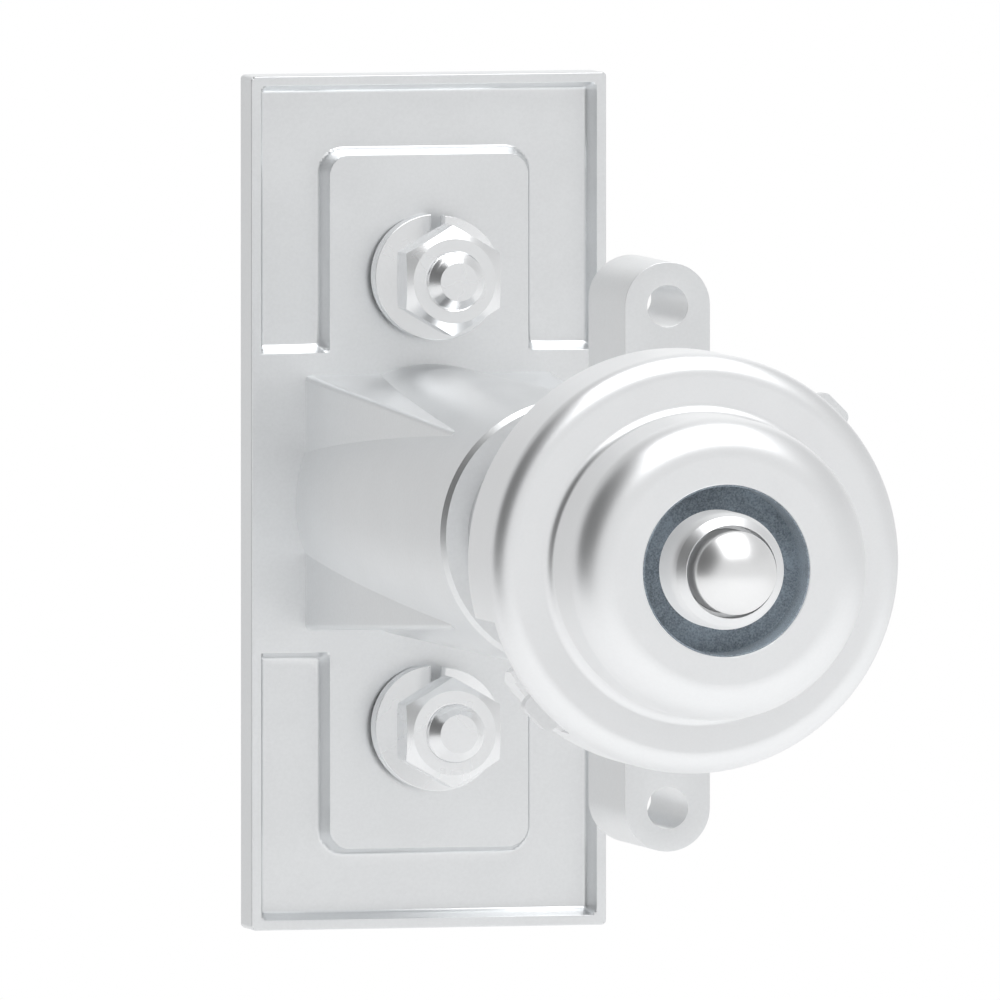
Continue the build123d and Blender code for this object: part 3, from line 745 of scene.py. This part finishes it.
class LOCK_OT_casting(bpy.types.Operator):
    """Builds the plate and its hub as one casting."""

    bl_idname = "lock.casting"
    bl_label = "Plate and hub"

    def execute(self, context):
        plate = context.scene.lock_plate
        fasteners = context.scene.lock_fasteners
        hub_front = height_span("hub_plate")[1]
        low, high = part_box("hub_plate")
        casting = plate_slab(plate, half_width("hub_plate"), (high.z - low.z) / 2)
        hub = hub_cone(plate, hub_front)
        combine(hub, hub_web(plate), "UNION")
        combine(casting, hub, "UNION")
        bore = [
            (plate.well_r, -BEYOND),
            (plate.well_r, plate.well_depth),
            (plate.bore_r, plate.well_depth),
            (plate.bore_r, hub_front + BEYOND),
        ]
        combine(casting, turned("bore", np.array(bore), closed=False), "DIFFERENCE")
        for node in ("upper_stud", "lower_stud"):
            head = half_width(node) + FIT_GAP
            sink = height_span(node)[0] + fasteners.head_thickness
            hole = fasteners.stud_r + FIT_GAP
            cut = [(head, -BEYOND), (head, sink), (hole, sink), (hole, plate.thickness + BEYOND)]
            stud_hole = turned("stud_hole", np.array(cut), closed=False, count=96, up=middle_up(node))
            combine(casting, stud_hole, "DIFFERENCE")
        finished(casting, "housing", "satin_casting", casting_finish(), "hub_plate")
        return {"FINISHED"}


THREAD_PEAK = 1.25  # depth of the thread's groove before its floor is cut flat, in thread depths
THREAD_FLANK = 4.5  # slope of the groove's flanks, in thread depths to a pitch
THREAD_ROWS = 14  # rows of points to a pitch


def stud_piece(node, sizes):
    """Stud as rings: a flush head, a neck, and a thread, inside the cone of the tip's chamfer. The thread's
    groove is a triangle wave, cut flat at both ends, of the height less one pitch a turn."""
    base, tip = height_span(node)
    head_r = half_width(node)
    angles = turn(72)
    neck = base + sizes.head_thickness
    tip_r = sizes.stud_r - sizes.stud_chamfer
    rows = np.arange(neck + sizes.pitch, tip - sizes.stud_chamfer / 2, sizes.pitch / THREAD_ROWS)[:, None]
    wave = (rows / sizes.pitch - angles / (2 * np.pi)) % 1
    groove = np.clip(THREAD_PEAK - THREAD_FLANK * np.abs(wave - 0.5), 0, 1)
    thread = np.minimum(sizes.stud_r - sizes.thread_depth * groove, tip_r + (tip - rows))
    ones = np.ones((1, angles.size))
    below = [head_r * sizes.head_face, head_r, head_r, sizes.stud_r, sizes.stud_r]
    below_heights = [base, base + sizes.head_bevel, neck, neck, neck + sizes.pitch / 2]
    radius = np.concatenate([*(r * ones for r in below), thread, tip_r * ones])
    height = np.concatenate([below_heights, rows[:, 0], [tip]])
    return ringed(node + "_thread", radius, height[:, None], angles, closed=False, up=middle_up(node))


def washer_piece(node, sizes):
    """Split washer: a rounded rectangle carried round nearly one turn of a helix, low end first."""
    low, high = height_span(node)
    outer_r = half_width(node)
    half_tall = sizes.washer_thickness / 2
    corners = [
        (sizes.washer_inner_r, -half_tall),
        (outer_r, -half_tall),
        (outer_r, half_tall),
        (sizes.washer_inner_r, half_tall),
    ]
    section = rounded_outline(corners, [sizes.washer_edge_r] * 4)
    angles = np.linspace(sizes.washer_start, sizes.washer_end, 150)[:, None]
    climb = np.linspace(low + half_tall, high - half_tall, angles.size)[:, None]
    radius, above = section.T[:, None]
    up = middle_up(node) + radius * np.sin(angles)
    return surface(node + "_coil", placed(radius * np.cos(angles), up, climb + above), closed=False)


def nut_piece(node, sizes):
    """Hexagon nut as rings round a rounded hexagon: at each end a cone cuts the corners, so the edge of a
    flat drops with the hexagon's radius, and a bevelled bore closes the rings."""
    low, high = height_span(node)
    angles = polygon_angles(6, 36)
    hexagon = polygon_radius(angles, 6, half_width(node), sizes.nut_corner_r)
    drop = np.maximum(hexagon - sizes.nut_face_r, 0) * math.tan(sizes.nut_cone)
    ones = np.ones_like(angles)
    bore = (sizes.stud_r + sizes.nut_gap) * ones
    mouth = bore + sizes.nut_mouth
    face = sizes.nut_face_r * ones
    bevel = sizes.nut_bevel * ones
    bottom, top = low * ones, high * ones
    radius = np.array([bore, mouth, face, hexagon, hexagon, face, mouth, bore])
    height = np.array([bottom + bevel, bottom, bottom, bottom + drop, top - drop, top, top, top - bevel])
    return ringed(node + "_hexagon", radius, height, angles, closed=True, up=middle_up(node))


class LOCK_OT_fasteners(bpy.types.Operator):
    """Builds the studs, split washers and nuts."""

    bl_idname = "lock.fasteners"
    bl_label = "Studs, washers and nuts"

    def execute(self, context):
        sizes = context.scene.lock_fasteners
        finish = fastener_finish()
        makers = {"stud": stud_piece, "lock_washer": washer_piece, "nut": nut_piece}
        for place in ("upper", "lower"):
            for kind, maker in makers.items():
                node = f"{place}_{kind}"
                piece = maker(node, sizes)
                mirrored = kind == "lock_washer"
                finished(piece, "housing", "plated_fastener", finish, node, mirrored=mirrored)
        return {"FINISHED"}


ARM_ROOT = 0.7  # where an arm starts inside the boss, as a share of the boss's radius


def arm_piece(side, handle, rear, front, centre):
    """Arm as rings round its hole: at an angle from the arm's end the outline is a half circle outwards,
    and inwards the nearer of the arm's flank and its root. Quarter circles round the edges of the outline
    and the hole."""
    angles = turn(160)
    half = handle.arm_width / 2
    root = centre - handle.boss_r * ARM_ROOT
    quarter = np.linspace(0, np.pi / 2, 9)[:, None]
    edge, lip = handle.arm_edge_r, handle.hole_edge_r
    rise, fall = 1 - np.cos(quarter), 1 - np.sin(quarter)

    def outline(inset):
        flank = (half - inset) / np.maximum(np.abs(np.sin(angles)), MERGE_DISTANCE)
        inner = np.minimum(flank, (root - inset) / np.maximum(-np.cos(angles), MERGE_DISTANCE))
        return np.where(np.cos(angles) > 0, half - inset, inner)

    hole = handle.arm_hole_r + lip * np.concatenate([fall, rise]) + 0 * angles
    radius = np.concatenate([outline(edge * fall), outline(edge * rise), hole])
    levels = [rear + edge * rise, front - edge * fall, front - lip * rise, rear + lip * fall]
    height = np.concatenate(levels)
    x = radius * np.sin(angles)
    up = side * (centre + radius * np.cos(angles))
    return surface("arm", placed(x, up, height), closed=True)


def lug_piece(handle, angle, start):
    """Bayonet lug: a flat tab with rounded outer corners."""
    root = handle.spigot_r - 2 * handle.lug_corner_r
    half = handle.lug_width / 2
    corners = [(root, -half), (handle.lug_reach, -half), (handle.lug_reach, half), (root, half)]
    outline = rounded_outline(corners, [0, handle.lug_corner_r, handle.lug_corner_r, 0], steps=10)
    outward = (math.cos(angle), 0, math.sin(angle))
    sideways = (-math.sin(angle), 0, math.cos(angle))
    end = start + handle.lug_thickness
    return prism("lug", outline, (0, 0, 0), outward, sideways, (0, -1, 0), start, end)


class LOCK_OT_bar(bpy.types.Operator):
    """Builds the T-shaped bar: boss, spigot, drilled arms and bayonet lugs."""

    bl_idname = "lock.bar"
    bl_label = "Handle bar"

    def execute(self, context):
        handle = context.scene.lock_handle
        drive = context.scene.lock_drive
        rear, spigot_front = height_span("handle_bar")
        front = rear + handle.bar_depth
        low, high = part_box("handle_bar")
        centre = (high.z - low.z) / 2 - handle.arm_width / 2
        well = spigot_front - handle.spring_well_depth
        corners = [
            (handle.bar_bore_r, rear),
            (handle.boss_r, rear),
            (handle.boss_r, front),
            (handle.spigot_r, front),
            (handle.spigot_r, spigot_front),
            (handle.spring_well_r, spigot_front),
            (handle.spring_well_r, well),
            (handle.bar_bore_r, well),
        ]
        radii = [0, handle.arm_edge_r, 0, handle.arm_edge_r, handle.arm_edge_r, 0, 0, 0]
        bar = turned("handle_bar_casting", rounded_outline(corners, radii), closed=True)
        for side in (1, -1):
            combine(bar, arm_piece(side, handle, rear, front, centre), "UNION")
        lug_start = height_span("handle_cap")[0] + handle.slot_ledge + SEAT_GAP
        for half_turn in HALF_TURNS:
            combine(bar, lug_piece(handle, handle.lug_angle + half_turn, lug_start), "UNION")
        socket_half = half_width("handle_shank") + FIT_GAP / 2
        angles = polygon_angles(4, 24)
        square = polygon_radius(angles, 4, socket_half, drive.shank_corner_r)[None]
        heights = np.array([[rear - BEYOND], [rear + handle.socket_depth]])
        combine(bar, ringed("socket", np.repeat(square, 2, 0), heights, angles, closed=False), "DIFFERENCE")
        circle = handle.grub_hole_r * np.stack([np.cos(turn(48)), np.sin(turn(48))], axis=-1)
        reach = handle.boss_r + BEYOND
        place = (0, -(rear + handle.grub_depth), 0)
        drill = prism("drill", circle, place, (0, -1, 0), (0, 0, 1), (1, 0, 0), -reach, reach)
        combine(bar, drill, "DIFFERENCE")
        finished(bar, "handle", "satin_casting", casting_finish(), "handle_bar", mirrored=False)
        return {"FINISHED"}


SLOT_ROOT = 0.9  # where the slot's cutting shape starts, as a share of the skirt's inner radius


def slot_cutter(handle, skirt_r, back, half_turn):
    """L-shaped slot as a prism along a radius: an entry notch with a slanted lead-in, then a slot with a
    nub before the lug's seat."""
    middle = (handle.notch_start + handle.slot_end) / 2
    mouth_angle = handle.notch_end + handle.lead_in
    stops = (handle.notch_start, handle.notch_end, mouth_angle, handle.nub_end, handle.slot_end)
    start, lip, mouth, nub, end = (skirt_r * math.sin(stop - middle) for stop in stops)
    below = -BEYOND
    ledge, front = handle.slot_ledge, handle.slot_front
    outline = [
        (start, below),
        (start, front),
        (end, front),
        (end, ledge),
        (nub, ledge),
        (nub, ledge + handle.slot_nub),
        (lip, ledge + handle.slot_nub),
        (lip, handle.lead_depth),
        (mouth, 0),
        (mouth, below),
    ]
    angle = middle + half_turn
    outward = (math.cos(angle), 0, math.sin(angle))
    sideways = (-math.sin(angle), 0, math.cos(angle))
    inner = (skirt_r - handle.skirt_wall) * SLOT_ROOT
    outer = skirt_r + 2 * BEYOND
    return prism("slot", np.array(outline), (0, -back, 0), sideways, (0, -1, 0), outward, inner, outer)


class LOCK_OT_cap(bpy.types.Operator):
    """Builds the stepped cap with its two bayonet slots."""

    bl_idname = "lock.cap"
    bl_label = "Stepped cap"

    def execute(self, context):
        handle = context.scene.lock_handle
        back, face = height_span("handle_cap")
        skirt_r = half_width("handle_cap")
        shoulder = back + handle.skirt_height
        inner_r = skirt_r - handle.skirt_wall
        crown_inner_r = handle.crown_r - handle.crown_wall
        inside = height_span("handle_bar")[1] + SEAT_GAP
        corners = [
            (inner_r, back),
            (skirt_r, back),
            (skirt_r, shoulder),
            (handle.crown_r, shoulder),
            (handle.crown_r, face),
            (handle.opening_r, face),
            (handle.opening_r, face - handle.crown_front),
            (crown_inner_r, face - handle.crown_front),
            (crown_inner_r, inside),
            (inner_r, inside),
        ]
        outer_radii = [
            handle.skirt_edge_r,
            handle.skirt_edge_r,
            handle.shoulder_edge_r,
            handle.shoulder_root_r,
            handle.crown_edge_r,
            handle.opening_edge_r,
        ]
        radii = outer_radii + [0] * (len(corners) - len(outer_radii))
        cap = turned("stepped_cap", rounded_outline(corners, radii, steps=14), closed=True, count=360)
        for half_turn in HALF_TURNS:
            combine(cap, slot_cutter(handle, skirt_r, back, half_turn), "DIFFERENCE")
        finished(cap, "handle", "bright_cap", cap_finish(), "handle_cap", mirrored=False)
        return {"FINISHED"}


class LOCK_OT_button(bpy.types.Operator):
    """Builds the buffer ring, the guide collar and the push button."""

    bl_idname = "lock.button"
    bl_label = "Ring, collar and button"

    def execute(self, context):
        sizes = context.scene.lock_button
        ring = self.ring(sizes, context.scene.lock_handle.opening_r)
        # The ring's dark finish also paints the shade deep in the groove round the collar.
        finished(ring, "handle", "dark_rubber", dark_ring_and_shade_finish(), "buffer_ring", mirrored=False)
        finished(self.collar(sizes), "handle", "bright_cap", cap_finish(), "guide_collar")
        finished(self.push_button(sizes), "button", "polished_button", button_finish(), "push_button")
        return {"FINISHED"}

    def ring(self, sizes, opening_r):
        """Ring turned from a base, a thin lip that lines the cap's opening, and a face below the lip; their
        dark finish also paints the shade deep in the opening round the collar.
        """
        edge = sizes.edge_r
        low, high = height_span("buffer_ring")
        outer_r = half_width("buffer_ring")
        lip_r = opening_r - sizes.lip_gap
        lip_top = height_span("handle_cap")[1] - sizes.lip_sink
        face = high - sizes.ring_sink
        corners = [
            (sizes.collar_r, low),
            (outer_r, low),
            (outer_r, high),
            (lip_r, high),
            (lip_r, lip_top),
            (lip_r - sizes.lip_wall, lip_top),
            (lip_r - sizes.lip_wall, face),
            (sizes.collar_r, face),
        ]
        radii = [0, edge, edge, 0, 0, edge / 2, edge, 0]
        return turned("buffer_ring_moulding", rounded_outline(corners, radii), closed=True)

    def collar(self, sizes):
        """Collar turned from a nose that bulges by a sine, a bevel, a stepped bore and a flange."""
        base, front = height_span("guide_collar")
        crease = front - sizes.bevel_height
        shoulder = crease - sizes.nose_height
        share_up = np.linspace(0, 1, 14)[:, None]
        cone_r = sizes.collar_r + (sizes.collar_crease_r - sizes.collar_r) * share_up
        nose_r = cone_r + sizes.nose_swell * np.sin(np.pi * share_up)
        nose = np.hstack([nose_r, shoulder + sizes.nose_height * share_up])
        mouth = front - sizes.collar_mouth_depth
        stop = height_span("push_button")[0] + sizes.flange + sizes.stop_gap
        flange_r = half_width("guide_collar")
        rest = np.array([
            (sizes.collar_mouth_r + sizes.mouth_bevel, front - sizes.mouth_sink),
            (sizes.collar_mouth_r + sizes.mouth_round, front - sizes.mouth_sink),
            (sizes.collar_mouth_r, front - sizes.mouth_bevel),
            (sizes.collar_mouth_r, mouth),
            (sizes.bore_r, mouth),
            (sizes.bore_r, stop),
            (sizes.well_r, stop),
            (sizes.well_r, base),
            (flange_r, base),
            (flange_r, base + sizes.collar_flange),
            (sizes.collar_r, base + sizes.collar_flange),
        ])
        return turned("guide_collar_turning", np.concatenate([nose, rest]), closed=True)

    def push_button(self, sizes):
        """Button turned from a stop flange, a straight barrel and a dome that is part of a sphere."""
        base, tip = height_span("push_button")
        edge = tip - sizes.dome
        sphere_r = (sizes.button_r**2 + sizes.dome**2) / (2 * sizes.dome)
        widest = math.asin(sizes.button_r / sphere_r)
        angle = np.linspace(widest * sizes.dome_share, 0, 40)[:, None]
        dome = np.hstack([sphere_r * np.sin(angle), tip - sphere_r * (1 - np.cos(angle))])
        flange_r = half_width("push_button")
        flange_top = base + sizes.flange
        barrel = np.array([
            (flange_r, base),
            (flange_r, flange_top),
            (sizes.button_r, flange_top),
            (sizes.button_r, edge - sizes.dome_edge_r),
            (sizes.button_r, edge - sizes.dome_edge_r / 2),
            (sizes.button_r * sizes.edge_share, edge - sizes.dome_edge_r / 8),
        ])
        return turned("push_button_dome", np.concatenate([barrel, dome]), closed=False)


class LOCK_OT_drive(bpy.types.Operator):
    """Builds the square shank, the sleeve, its plug and its rings."""

    bl_idname = "lock.drive"
    bl_label = "Shank and sleeve"

    def execute(self, context):
        drive = context.scene.lock_drive
        steel = steel_finish()
        finished(self.shank(drive), "handle", "machined_steel", steel, "handle_shank", mirrored=False)
        finished(self.sleeve(drive), "drive", "machined_steel", steel, "drive_sleeve")
        finished(self.plug(drive), "drive", "machined_steel", steel, "sleeve_plug")
        finished(self.thrust_washer(drive), "drive", "machined_steel", steel, "thrust_washer")
        finished(self.circlip(drive), "drive", "spring_steel", spring_finish(), "sleeve_circlip")
        return {"FINISHED"}

    def shank(self, drive):
        """Square shank with rounded corners and a round tail, as rings of a square and of a circle."""
        tail, end = height_span("handle_shank")
        angles = polygon_angles(4, 40)
        square = polygon_radius(angles, 4, half_width("handle_shank"), drive.shank_corner_r)
        round_tail = drive.tail_r + 0 * angles
        shoulder = tail + drive.tail_length
        radius = np.array([round_tail, round_tail, square, square])
        height = np.array([tail, shoulder, shoulder, end])[:, None]
        return ringed("square_shank", radius, height, angles, closed=False)

    def sleeve(self, drive):
        """Sleeve as closed rings: barrel, groove and flange outside, square mouth and round bore inside."""
        rear, front = height_span("drive_sleeve")
        clip_low, clip_high = height_span("sleeve_circlip")
        angles = polygon_angles(4, 60)
        shank_half = half_width("handle_shank")
        mouth = polygon_radius(angles, 4, shank_half + drive.mouth_gap, drive.mouth_corner_r)
        stop = height_span("handle_shank")[0] + drive.tail_length + SEAT_GAP
        flange_r = half_width("drive_sleeve")
        flange_low = front - drive.flange
        chamfer = drive.mouth_chamfer
        rows = [
            (drive.bore_r, rear),
            (drive.barrel_r - drive.barrel_chamfer, rear),
            (drive.barrel_r, rear + drive.barrel_chamfer),
            (drive.barrel_r, clip_low),
            (drive.groove_r, clip_low),
            (drive.groove_r, clip_high),
            (drive.barrel_r, clip_high),
            (drive.barrel_r, flange_low),
            (flange_r, flange_low),
            (flange_r, front - chamfer),
            (flange_r - chamfer, front),
            (mouth + chamfer, front),
            (mouth, front - chamfer),
            (mouth, stop),
            (drive.bore_r, stop),
        ]
        radius = np.array([row_r + 0 * angles for row_r, _ in rows])
        height = np.array([row_height for _, row_height in rows])[:, None]
        return ringed("drive_sleeve_turning", radius, height, angles, closed=True)

    def plug(self, drive):
        """Plug as rings from its front to the floor of its square socket."""
        rear, front = height_span("sleeve_plug")
        angles = polygon_angles(4, 40)
        outer = half_width("sleeve_plug") + 0 * angles
        socket = polygon_radius(angles, 4, drive.socket_half, drive.socket_corner_r)
        chamfer = drive.socket_chamfer
        floor = rear + drive.socket_depth
        radius = np.array([outer, outer, outer - chamfer, socket + chamfer, socket, socket])
        height = np.array([front, rear + chamfer, rear, rear, rear + chamfer, floor])[:, None]
        return ringed("sleeve_plug_socket", radius, height, angles, closed=False)

    def thrust_washer(self, drive):
        """Flat washer turned from a rectangle."""
        low, high = height_span("thrust_washer")
        inner_r, outer_r = drive.washer_bore_r, half_width("thrust_washer")
        ring = [(inner_r, low), (outer_r, low), (outer_r, high), (inner_r, high)]
        return turned("thrust_washer_ring", np.array(ring), closed=True)

    def circlip(self, drive):
        """Open ring: a rounded rectangle carried round an arc, with its gap below."""
        low, high = height_span("sleeve_circlip")
        inner_r, outer_r = drive.clip_bore_r, half_width("sleeve_circlip")
        corners = [(inner_r, low), (outer_r, low), (outer_r, high), (inner_r, high)]
        section = rounded_outline(corners, [drive.clip_edge_r] * 4)
        angles = np.linspace(drive.clip_start, drive.clip_end, 160)[:, None]
        radius, height = section.T[:, None]
        grid = placed(radius * np.cos(angles), radius * np.sin(angles), height + 0 * angles)
        return surface("sleeve_circlip_ring", grid, closed=False)


WIRE_SIDES = 16  # points round a spring's wire
COIL_STEPS = 48  # sections of wire to a turn of a spring
POLE_ANGLE = 0.03  # angle from a ball's pole to its first ring


def spring_piece(node, wire, turns):
    """Open spring: the wire's circle carried round a helix between the node's two ends."""
    low, high = height_span(node)
    angles = np.linspace(0, 2 * np.pi * turns, round(turns * COIL_STEPS) + 1)[:, None]
    climb = np.linspace(low + wire / 2, high - wire / 2, angles.size)[:, None]
    section = turn(WIRE_SIDES)[None]
    radius = half_width(node) - wire / 2 + wire / 2 * np.cos(section)
    grid = placed(radius * np.cos(angles), radius * np.sin(angles), climb + wire / 2 * np.sin(section))
    return surface(node + "_coil", grid, closed=False)


def ball_piece(node):
    """Ball as rings from pole to pole, each pole closed by one small flat face."""
    low, high = height_span(node)
    radius = (high - low) / 2
    angle = np.linspace(POLE_ANGLE, np.pi - POLE_ANGLE, 32)[:, None]
    profile = np.hstack([radius * np.sin(angle), (low + high) / 2 - radius * np.cos(angle)])
    return turned(node + "_sphere", profile, closed=False, count=64, up=middle_up(node))


class LOCK_OT_springs(bpy.types.Operator):
    """Builds the detent balls and the springs, each spring on the body of its joint's parent."""

    bl_idname = "lock.springs"
    bl_label = "Springs and balls"

    def execute(self, context):
        sizes = context.scene.lock_springs
        makes = {
            "pop_out_spring": (sizes.pop_wire, sizes.pop_turns),
            "button_spring": (sizes.button_wire, sizes.button_turns),
        }
        for joint in frame["record"]["behaviour"]["joints"]:
            for deformed in joint.get("deforming_nodes", ()):
                node = deformed["node"]
                piece = spring_piece(node, *makes[node])
                finished(piece, joint["parent"], "spring_steel", spring_finish(), node)
                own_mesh(piece)
        for node in ("upper_detent_ball", "lower_detent_ball"):
            finished(ball_piece(node), "handle", "spring_steel", spring_finish(), node)
        return {"FINISHED"}


class LOCK_OT_inner_finishes(bpy.types.Operator):
    """Gives the inner pieces, which keep their CAD shape, their finishes."""

    bl_idname = "lock.inner_finishes"
    bl_label = "Finishes of the inner pieces"

    def execute(self, context):
        finishes = {
            "bearing_bronze": bronze_finish(),
            "machined_steel": steel_finish(),
            "spring_steel": spring_finish(),
            "plated_fastener": fastener_finish(),
        }
        for part in frame["record"]["subparts"]:
            node = frame["nodes"][part["node"]]
            if node.hide_render:
                continue
            node.data.materials.clear()
            node.data.materials.append(finishes[part["material_slot"]])
        return {"FINISHED"}


# Directions on the hood that its greys are measured from.
HOOD_RIGHT = (0.9, -0.43, 0)
HOOD_PATCH = (-0.9, -0.11, 0.42)
HOOD_GLOW = (0.22, 0.84, 0.5)
# Where each grey of the hood starts and ends: the first three as cosines from the directions above, the
# last two as heights on a hood of radius 1.
RIGHT_RAMP = (-0.7, 0.1)
PATCH_RAMP = (0.66, 0.93)
GLOW_RAMP = (0.84, 0.985)
LOW_RAMP = (-0.35, -0.06)
TOP_RAMP = (0.1, 0.5)


def hood_tone(tree, direction, studio):
    """Grey of the hood from its direction: paler to the front and right than at the back left, paler still
    towards the floor, greyer overhead, dark in a soft round patch at the left, and bright at the top of the
    back."""

    def toward(aim):
        settings = {"operation": "DOT_PRODUCT"}
        return add_node(tree, "ShaderNodeVectorMath", settings, {0: direction, 1: aim}).outputs["Value"]

    def ramp(value, places, first, last):
        return ramped(tree, value, *places, first, last, "SMOOTHSTEP")

    height = add_node(tree, "ShaderNodeSeparateXYZ", {}, {0: direction}).outputs["Z"]
    tone = ramp(toward(HOOD_RIGHT), RIGHT_RAMP, studio.hood_back, studio.hood_front)
    gains = (
        ramp(height, LOW_RAMP, studio.hood_low, 1.0),
        ramp(height, TOP_RAMP, 1.0, studio.hood_top),
        ramp(toward(HOOD_PATCH), PATCH_RAMP, 1.0, studio.hood_dark),
        ramp(toward(HOOD_GLOW), GLOW_RAMP, 1.0, studio.hood_glow),
    )
    for gain in gains:
        tone = add_node(tree, "ShaderNodeMath", {"operation": "MULTIPLY"}, {0: tone, 1: gain}).outputs[0]
    return tone


def hood(name, studio):
    """Dome of pale cloth round the lock, from just below the horizon upwards, seen only in reflections."""
    azimuth = np.linspace(-np.pi, np.pi, 97)[None]
    elevation = np.linspace(studio.hood_foot, np.pi / 2, 38)[:, None]
    level = studio.hood_radius * np.cos(elevation)
    x, y, z = level * np.sin(azimuth), -level * np.cos(azimuth), studio.hood_radius * np.sin(elevation)
    points = np.stack(np.broadcast_arrays(x, y, z), axis=-1)
    index = np.arange(points[..., 0].size).reshape(points.shape[:2])
    quads = np.stack([index[:-1, :-1], index[:-1, 1:], index[1:, 1:], index[1:, :-1]], axis=-1)
    piece = mesh_piece(name, points.reshape(-1, 3), quads.reshape(-1, 4).tolist())
    material = bpy.data.materials.new(name)
    material.use_nodes = True
    tree = material.node_tree
    tree.nodes.clear()
    place = tree.nodes.new("ShaderNodeTexCoord").outputs["Object"]
    direction = add_node(tree, "ShaderNodeVectorMath", {"operation": "NORMALIZE"}, {0: place})
    tone = hood_tone(tree, direction.outputs["Vector"], studio)
    emission = add_node(tree, "ShaderNodeEmission", {}, {"Strength": tone})
    output = tree.nodes.new("ShaderNodeOutputMaterial")
    tree.links.new(emission.outputs[0], output.inputs["Surface"])
    piece.data.materials.append(material)
    piece.visible_camera = False
    piece.visible_diffuse = False
    piece.visible_shadow = False


def softbox(name, studio):
    """Rectangular area lamp that faces a point."""
    lamp = bpy.data.lights.new(name, "AREA")
    lamp.shape = "RECTANGLE"
    lamp.size = studio.softbox_width
    lamp.size_y = studio.softbox_depth
    lamp.energy = studio.key_power
    holder = bpy.data.objects.new(name, lamp)
    holder.location = studio.softbox_place
    back = Vector(studio.softbox_place) - Vector(studio.softbox_aim)
    holder.rotation_euler = back.to_track_quat("Z", "Y").to_euler()
    holder.visible_camera = False
    bpy.context.scene.collection.objects.link(holder)


class LOCK_OT_stage(bpy.types.Operator):
    """Sets the floor, the world, the softbox, the hood and the camera."""

    bl_idname = "lock.stage"
    bl_label = "Studio"

    def execute(self, context):
        studio = context.scene.lock_studio
        self.floor(studio, context.scene.lock_finishes)
        self.world(context, studio)
        softbox("overhead_softbox", studio)
        hood("studio_hood", studio)
        self.camera(context, studio)
        context.scene.view_settings.view_transform = "Standard"
        return {"FINISHED"}

    def floor(self, studio, finish):
        """Plain pale floor."""
        half = studio.floor_half
        corners = [(-half, -half), (half, -half), (half, half), (-half, half)]
        mesh = bpy.data.meshes.new("floor")
        mesh.from_pydata([(x, y, -studio.floor_drop) for x, y in corners], [], [(0, 1, 2, 3)])
        material = bpy.data.materials.new("pale_floor")
        material.use_nodes = True
        shader = material.node_tree.nodes["Principled BSDF"]
        shader.inputs["Base Color"].default_value = (*finish.floor, 1)
        shader.inputs["Roughness"].default_value = finish.floor_roughness
        mesh.materials.append(material)
        piece = bpy.data.objects.new("floor", mesh)
        bpy.context.scene.collection.objects.link(piece)

    def world(self, context, studio):
        """White world for the camera and for reflections, and a softer one for matt surfaces."""
        world = bpy.data.worlds.new("white_studio")
        context.scene.world = world
        world.use_nodes = True
        tree = world.node_tree
        tree.nodes.clear()
        rays = tree.nodes.new("ShaderNodeLightPath").outputs
        seen = rays["Is Camera Ray"]
        for kind in ("Is Glossy Ray", "Is Transmission Ray"):
            either = add_node(tree, "ShaderNodeMath", {"operation": "MAXIMUM"}, {0: seen, 1: rays[kind]})
            seen = either.outputs[0]
        white = (1, 1, 1, 1)
        soft = add_node(tree, "ShaderNodeBackground", {}, {"Color": white, "Strength": studio.ambient})
        full = add_node(tree, "ShaderNodeBackground", {}, {"Color": white, "Strength": 1.0})
        mix = add_node(tree, "ShaderNodeMixShader", {}, {0: seen, 1: soft.outputs[0], 2: full.outputs[0]})
        output = tree.nodes.new("ShaderNodeOutputWorld")
        tree.links.new(mix.outputs[0], output.inputs["Surface"])

    def camera(self, context, studio):
        """Long lens at the photograph's angle, as far away as makes the frame width fill the picture."""
        data = bpy.data.cameras.new("camera")
        data.lens = studio.lens
        data.clip_end = studio.clip_end
        distance = studio.frame_width * data.lens / data.sensor_width
        back = Vector((
            -math.sin(studio.azimuth) * math.cos(studio.elevation),
            -math.cos(studio.azimuth) * math.cos(studio.elevation),
            math.sin(studio.elevation),
        ))
        camera = bpy.data.objects.new("camera", data)
        camera.location = Vector(studio.aim) + back * distance
        camera.rotation_euler = back.to_track_quat("Z", "Y").to_euler()
        bpy.context.scene.collection.objects.link(camera)
        context.scene.camera = camera


class LOCK_PT_panel(bpy.types.Panel):
    """Lists the lock's operators in the sidebar."""

    bl_idname = "LOCK_PT_panel"
    bl_label = "T-handle lock"
    bl_space_type = "VIEW_3D"
    bl_region_type = "UI"
    bl_category = "Lock"

    def draw(self, context):
        for operator in OPERATORS:
            self.layout.operator(operator.bl_idname)


GROUPS = {
    "lock_plate": PlateSizes,
    "lock_fasteners": FastenerSizes,
    "lock_handle": HandleSizes,
    "lock_button": ButtonSizes,
    "lock_drive": DriveSizes,
    "lock_springs": SpringSizes,
    "lock_studio": StudioSizes,
    "lock_finishes": Finishes,
}
OPERATORS = (
    LOCK_OT_casting,
    LOCK_OT_fasteners,
    LOCK_OT_bar,
    LOCK_OT_cap,
    LOCK_OT_button,
    LOCK_OT_drive,
    LOCK_OT_springs,
    LOCK_OT_inner_finishes,
    LOCK_OT_stage,
)


def register():
    """Registers the classes and puts the property groups on the scene."""
    for item in (*GROUPS.values(), *OPERATORS, LOCK_PT_panel):
        bpy.utils.register_class(item)
    for name, group in GROUPS.items():
        setattr(bpy.types.Scene, name, PointerProperty(type=group))


def unregister():
    """Takes the property groups off the scene and removes the classes."""
    for name in GROUPS:
        delattr(bpy.types.Scene, name)
    for item in (LOCK_PT_panel, *reversed(OPERATORS), *GROUPS.values()):
        bpy.utils.unregister_class(item)


def main():
    register()
    for operator in OPERATORS:
        group, name = operator.bl_idname.split(".")
        getattr(getattr(bpy.ops, group), name)()


if __name__ == "__main__":
    main()
